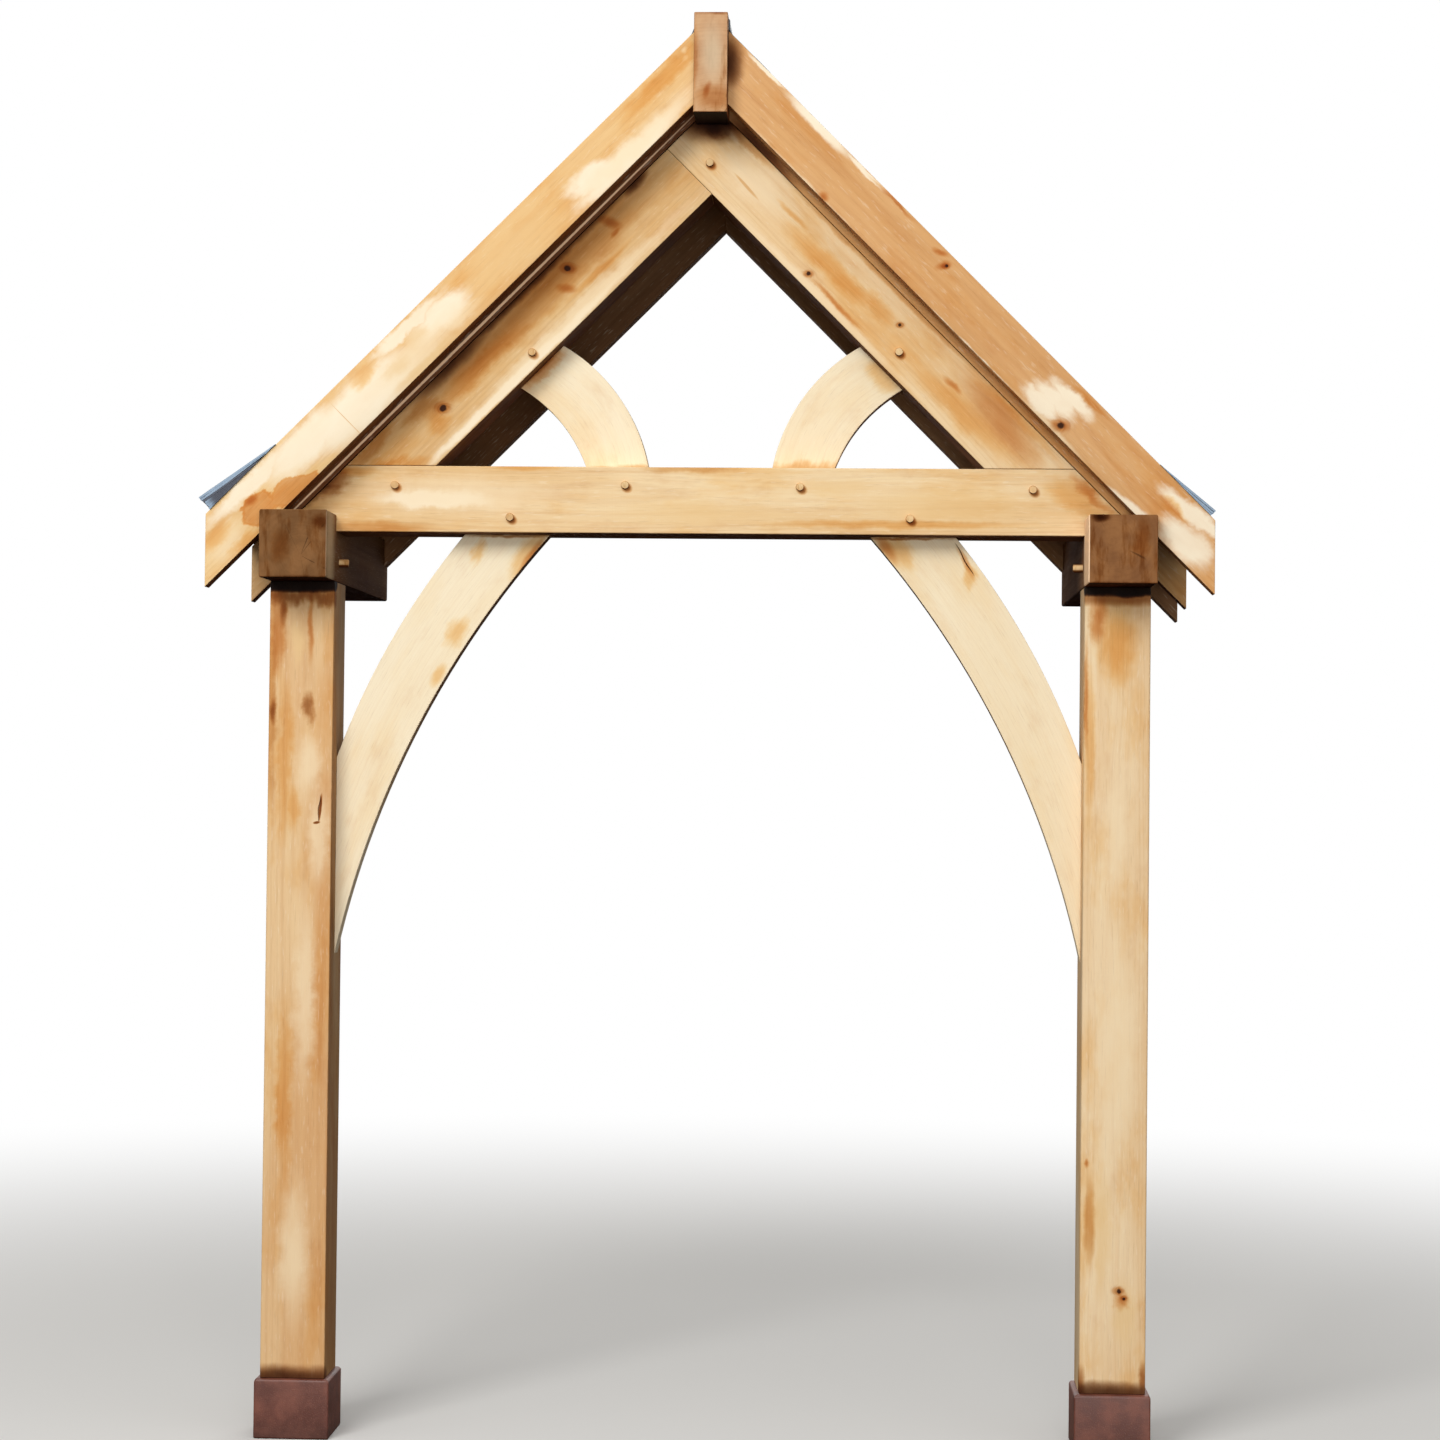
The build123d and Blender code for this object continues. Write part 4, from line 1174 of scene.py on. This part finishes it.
def pegs_mesh(pegs):
    """All pegs as one mesh: rings joined by quads, and a single face on each end."""
    points = np.stack([peg_points(*peg) for peg in pegs])
    count, rings, around, _ = points.shape
    index = np.arange(rings * around).reshape(rings, around)
    after = np.roll(index, -1, axis=1)
    wall = np.stack([index[:-1], index[1:], after[1:], after[:-1]], axis=-1).reshape(-1, 4)
    faces = []
    for base in np.arange(count) * rings * around:
        faces += (wall + base).tolist() + [(index[0] + base).tolist(), (index[-1][::-1] + base).tolist()]
    mesh = bpy.data.meshes.new("pegs")
    mesh.from_pydata(points.reshape(-1, 3).tolist(), [], faces)
    mesh.validate()
    shell = bmesh.new()
    shell.from_mesh(mesh)
    bmesh.ops.recalc_face_normals(shell, faces=shell.faces)
    shell.to_mesh(mesh)
    shell.free()
    return smoothed(mesh, 40)


principal_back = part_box("principal_rafter_left")[1].y
pegs = [((x, truss_y, z), "y", (high_tie.y if z < tie_top else principal_back) - truss_y, proud, number * 0.9)
        for number, (x, z, proud) in enumerate(PEG_PLACES)]
pegs += [((side * low_plate.x, *PLATE_PEG), "x", high_plate.x - low_plate.x, PLATE_PEG_PROUD, 0.4)
         for side, _ in SIDES]
peg_mesh = pegs_mesh(pegs)
mark_grain(peg_mesh, AWAY, (0, 0, -0.9), 0.0)
peg_finish = oak("peg_oak", "#d8ab74", "#b9854f", AWAY, end=("#eccb98", "#dcb27c"))
add_piece("pegs", peg_mesh, peg_finish, "frame_oak")
print("pegs", len(pegs))

# %% [markdown]
# ## Base blocks
# The posts stand on smooth red-brown blocks that keep the end grain off wet ground. Their arrises are worn.

# %% Base blocks
BLOCK_ROUND = 0.004


def block_finish():
    """Dense red-brown stone: fine grit, darker near the ground where it stays damp."""
    m = Recipe(bpy.data.materials.new("base_stone"))
    place = m.place()
    cloud = m.noise(place, 14.0, 4.0, 0.6)
    grit = m.noise(place, 340.0, 3.0)
    damp = m.step(m.parts(place)[2] + cloud * 0.05, foot_z - 0.06, foot_z - 0.14)
    colour = m.mix(m.step(cloud, 0.35, 0.7), "#5c3024", "#7a4636")
    colour = m.mix(m.step(grit, 0.55, 0.75) * 0.5, colour, "#94604c")
    colour = m.mix(damp * 0.6, colour, "#3a211a")
    return m.finish(colour, cloud * 0.3 + 0.3, grit + cloud * 0.5, 0.0008, 0.5)


block_material = block_finish()
for _, word in SIDES:
    node = f"base_block_{word}"
    add_piece(f"{node}_worn", wood_copy(node, BLOCK_ROUND), block_material, "base_block", node)

# %% [markdown]
# ## Floor, light and background
# Soft daylight comes from above and in front, as under a bright grey sky, so that the undersides and the
# inside of the truss fall into shade. What the camera sees behind is white by its colour alone.

# %% Floor and light
WHITE = "#ffffff"
SKY_FRONT, SKY_BACK, SKY_TOP, SKY_LOW = 0.95, 0.20, 1.0, 0.05
FLOOR_RADIUS, FLOOR_CORNERS, FLOOR_GAP = 40, 96, 0.0005
FADE_FROM, FADE_TO = 1.6, 7.0
floor_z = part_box("base_block_left")[0].z


def floor_disc():
    """A round floor under the canopy, one face with many corners."""
    angle = np.linspace(0, 2 * pi, FLOOR_CORNERS, endpoint=False)
    height = np.full(FLOOR_CORNERS, floor_z - FLOOR_GAP)
    points = np.stack([FLOOR_RADIUS * np.cos(angle), FLOOR_RADIUS * np.sin(angle), height], axis=1)
    mesh = bpy.data.meshes.new("floor")
    mesh.from_pydata(points.tolist(), [], [list(range(FLOOR_CORNERS))])
    return mesh


def floor_finish():
    """A pale matt floor that fades to the white background away from the canopy, for the camera only."""
    m = Recipe(bpy.data.materials.new("pale_floor"))
    camera_ray = m.node("ShaderNodeLightPath", "Is Camera Ray")
    away = m.length(m.vector("MULTIPLY", m.place(), (1, 1, 0)))
    seen = m.mix(camera_ray, "#4a4038", "#e4e2de")
    matt = m.node("ShaderNodeBsdfDiffuse", 0, {"Color": seen})
    plain = m.node("ShaderNodeEmission", 0, {"Color": WHITE, "Strength": 1.0})
    fade = m.step(away, FADE_FROM, FADE_TO) * camera_ray
    mixed = m.node("ShaderNodeMixShader", 0, {0: fade, 1: matt, 2: plain})
    m.node("ShaderNodeOutputMaterial", 0, {"Surface": mixed})
    return m.owner


floor = in_scene("floor", floor_disc())
floor.data.materials.append(floor_finish())

# the sky lights the object by its height and its side, but the camera and mirrors see plain white
bpy.context.scene.world = bpy.data.worlds.new("studio")
sky = Recipe(bpy.context.scene.world)
toward = sky.parts(sky.node("ShaderNodeTexCoord", "Generated"))
front = sky.step(toward[1], 0.2, -0.9, SKY_BACK, SKY_FRONT)
above = sky.step(toward[2], -0.05, 0.45, SKY_LOW, SKY_TOP)
soft = sky.node("ShaderNodeBackground", 0, {"Color": WHITE, "Strength": front * above})
plain = sky.node("ShaderNodeBackground", 0, {"Color": WHITE, "Strength": 1.0})
seen = sky.highest([sky.node("ShaderNodeLightPath", f"Is {kind} Ray")
                    for kind in ("Camera", "Glossy", "Transmission")])
choice = sky.node("ShaderNodeMixShader", 0, {0: seen, 1: soft, 2: plain})
sky.node("ShaderNodeOutputWorld", 0, {0: choice})


def lamp(name, place, target, size, level):
    """A square area lamp. level is the share of full daylight it gives at its target, straight on."""
    data = bpy.data.lights.new(name, "AREA")
    data.size = size
    away = Vector(target) - Vector(place)
    data.energy = level * pi * pi * away.length_squared
    made = in_scene(name, data)
    made.location = place
    made.rotation_mode = "QUATERNION"
    made.rotation_quaternion = away.to_track_quat("-Z", "Y")


MIDDLE = (0, -0.6, -1.6)
lamp("key", (-3.4, -7.6, 3.6), MIDDLE, 3.6, 0.50)
lamp("fill", (0.8, -9.4, -1.3), MIDDLE, 3.0, 0.30)
lamp("back", (1.5, 7.0, 4.0), MIDDLE, 5.0, 0.24)
bpy.context.scene.view_settings.view_transform = "Standard"
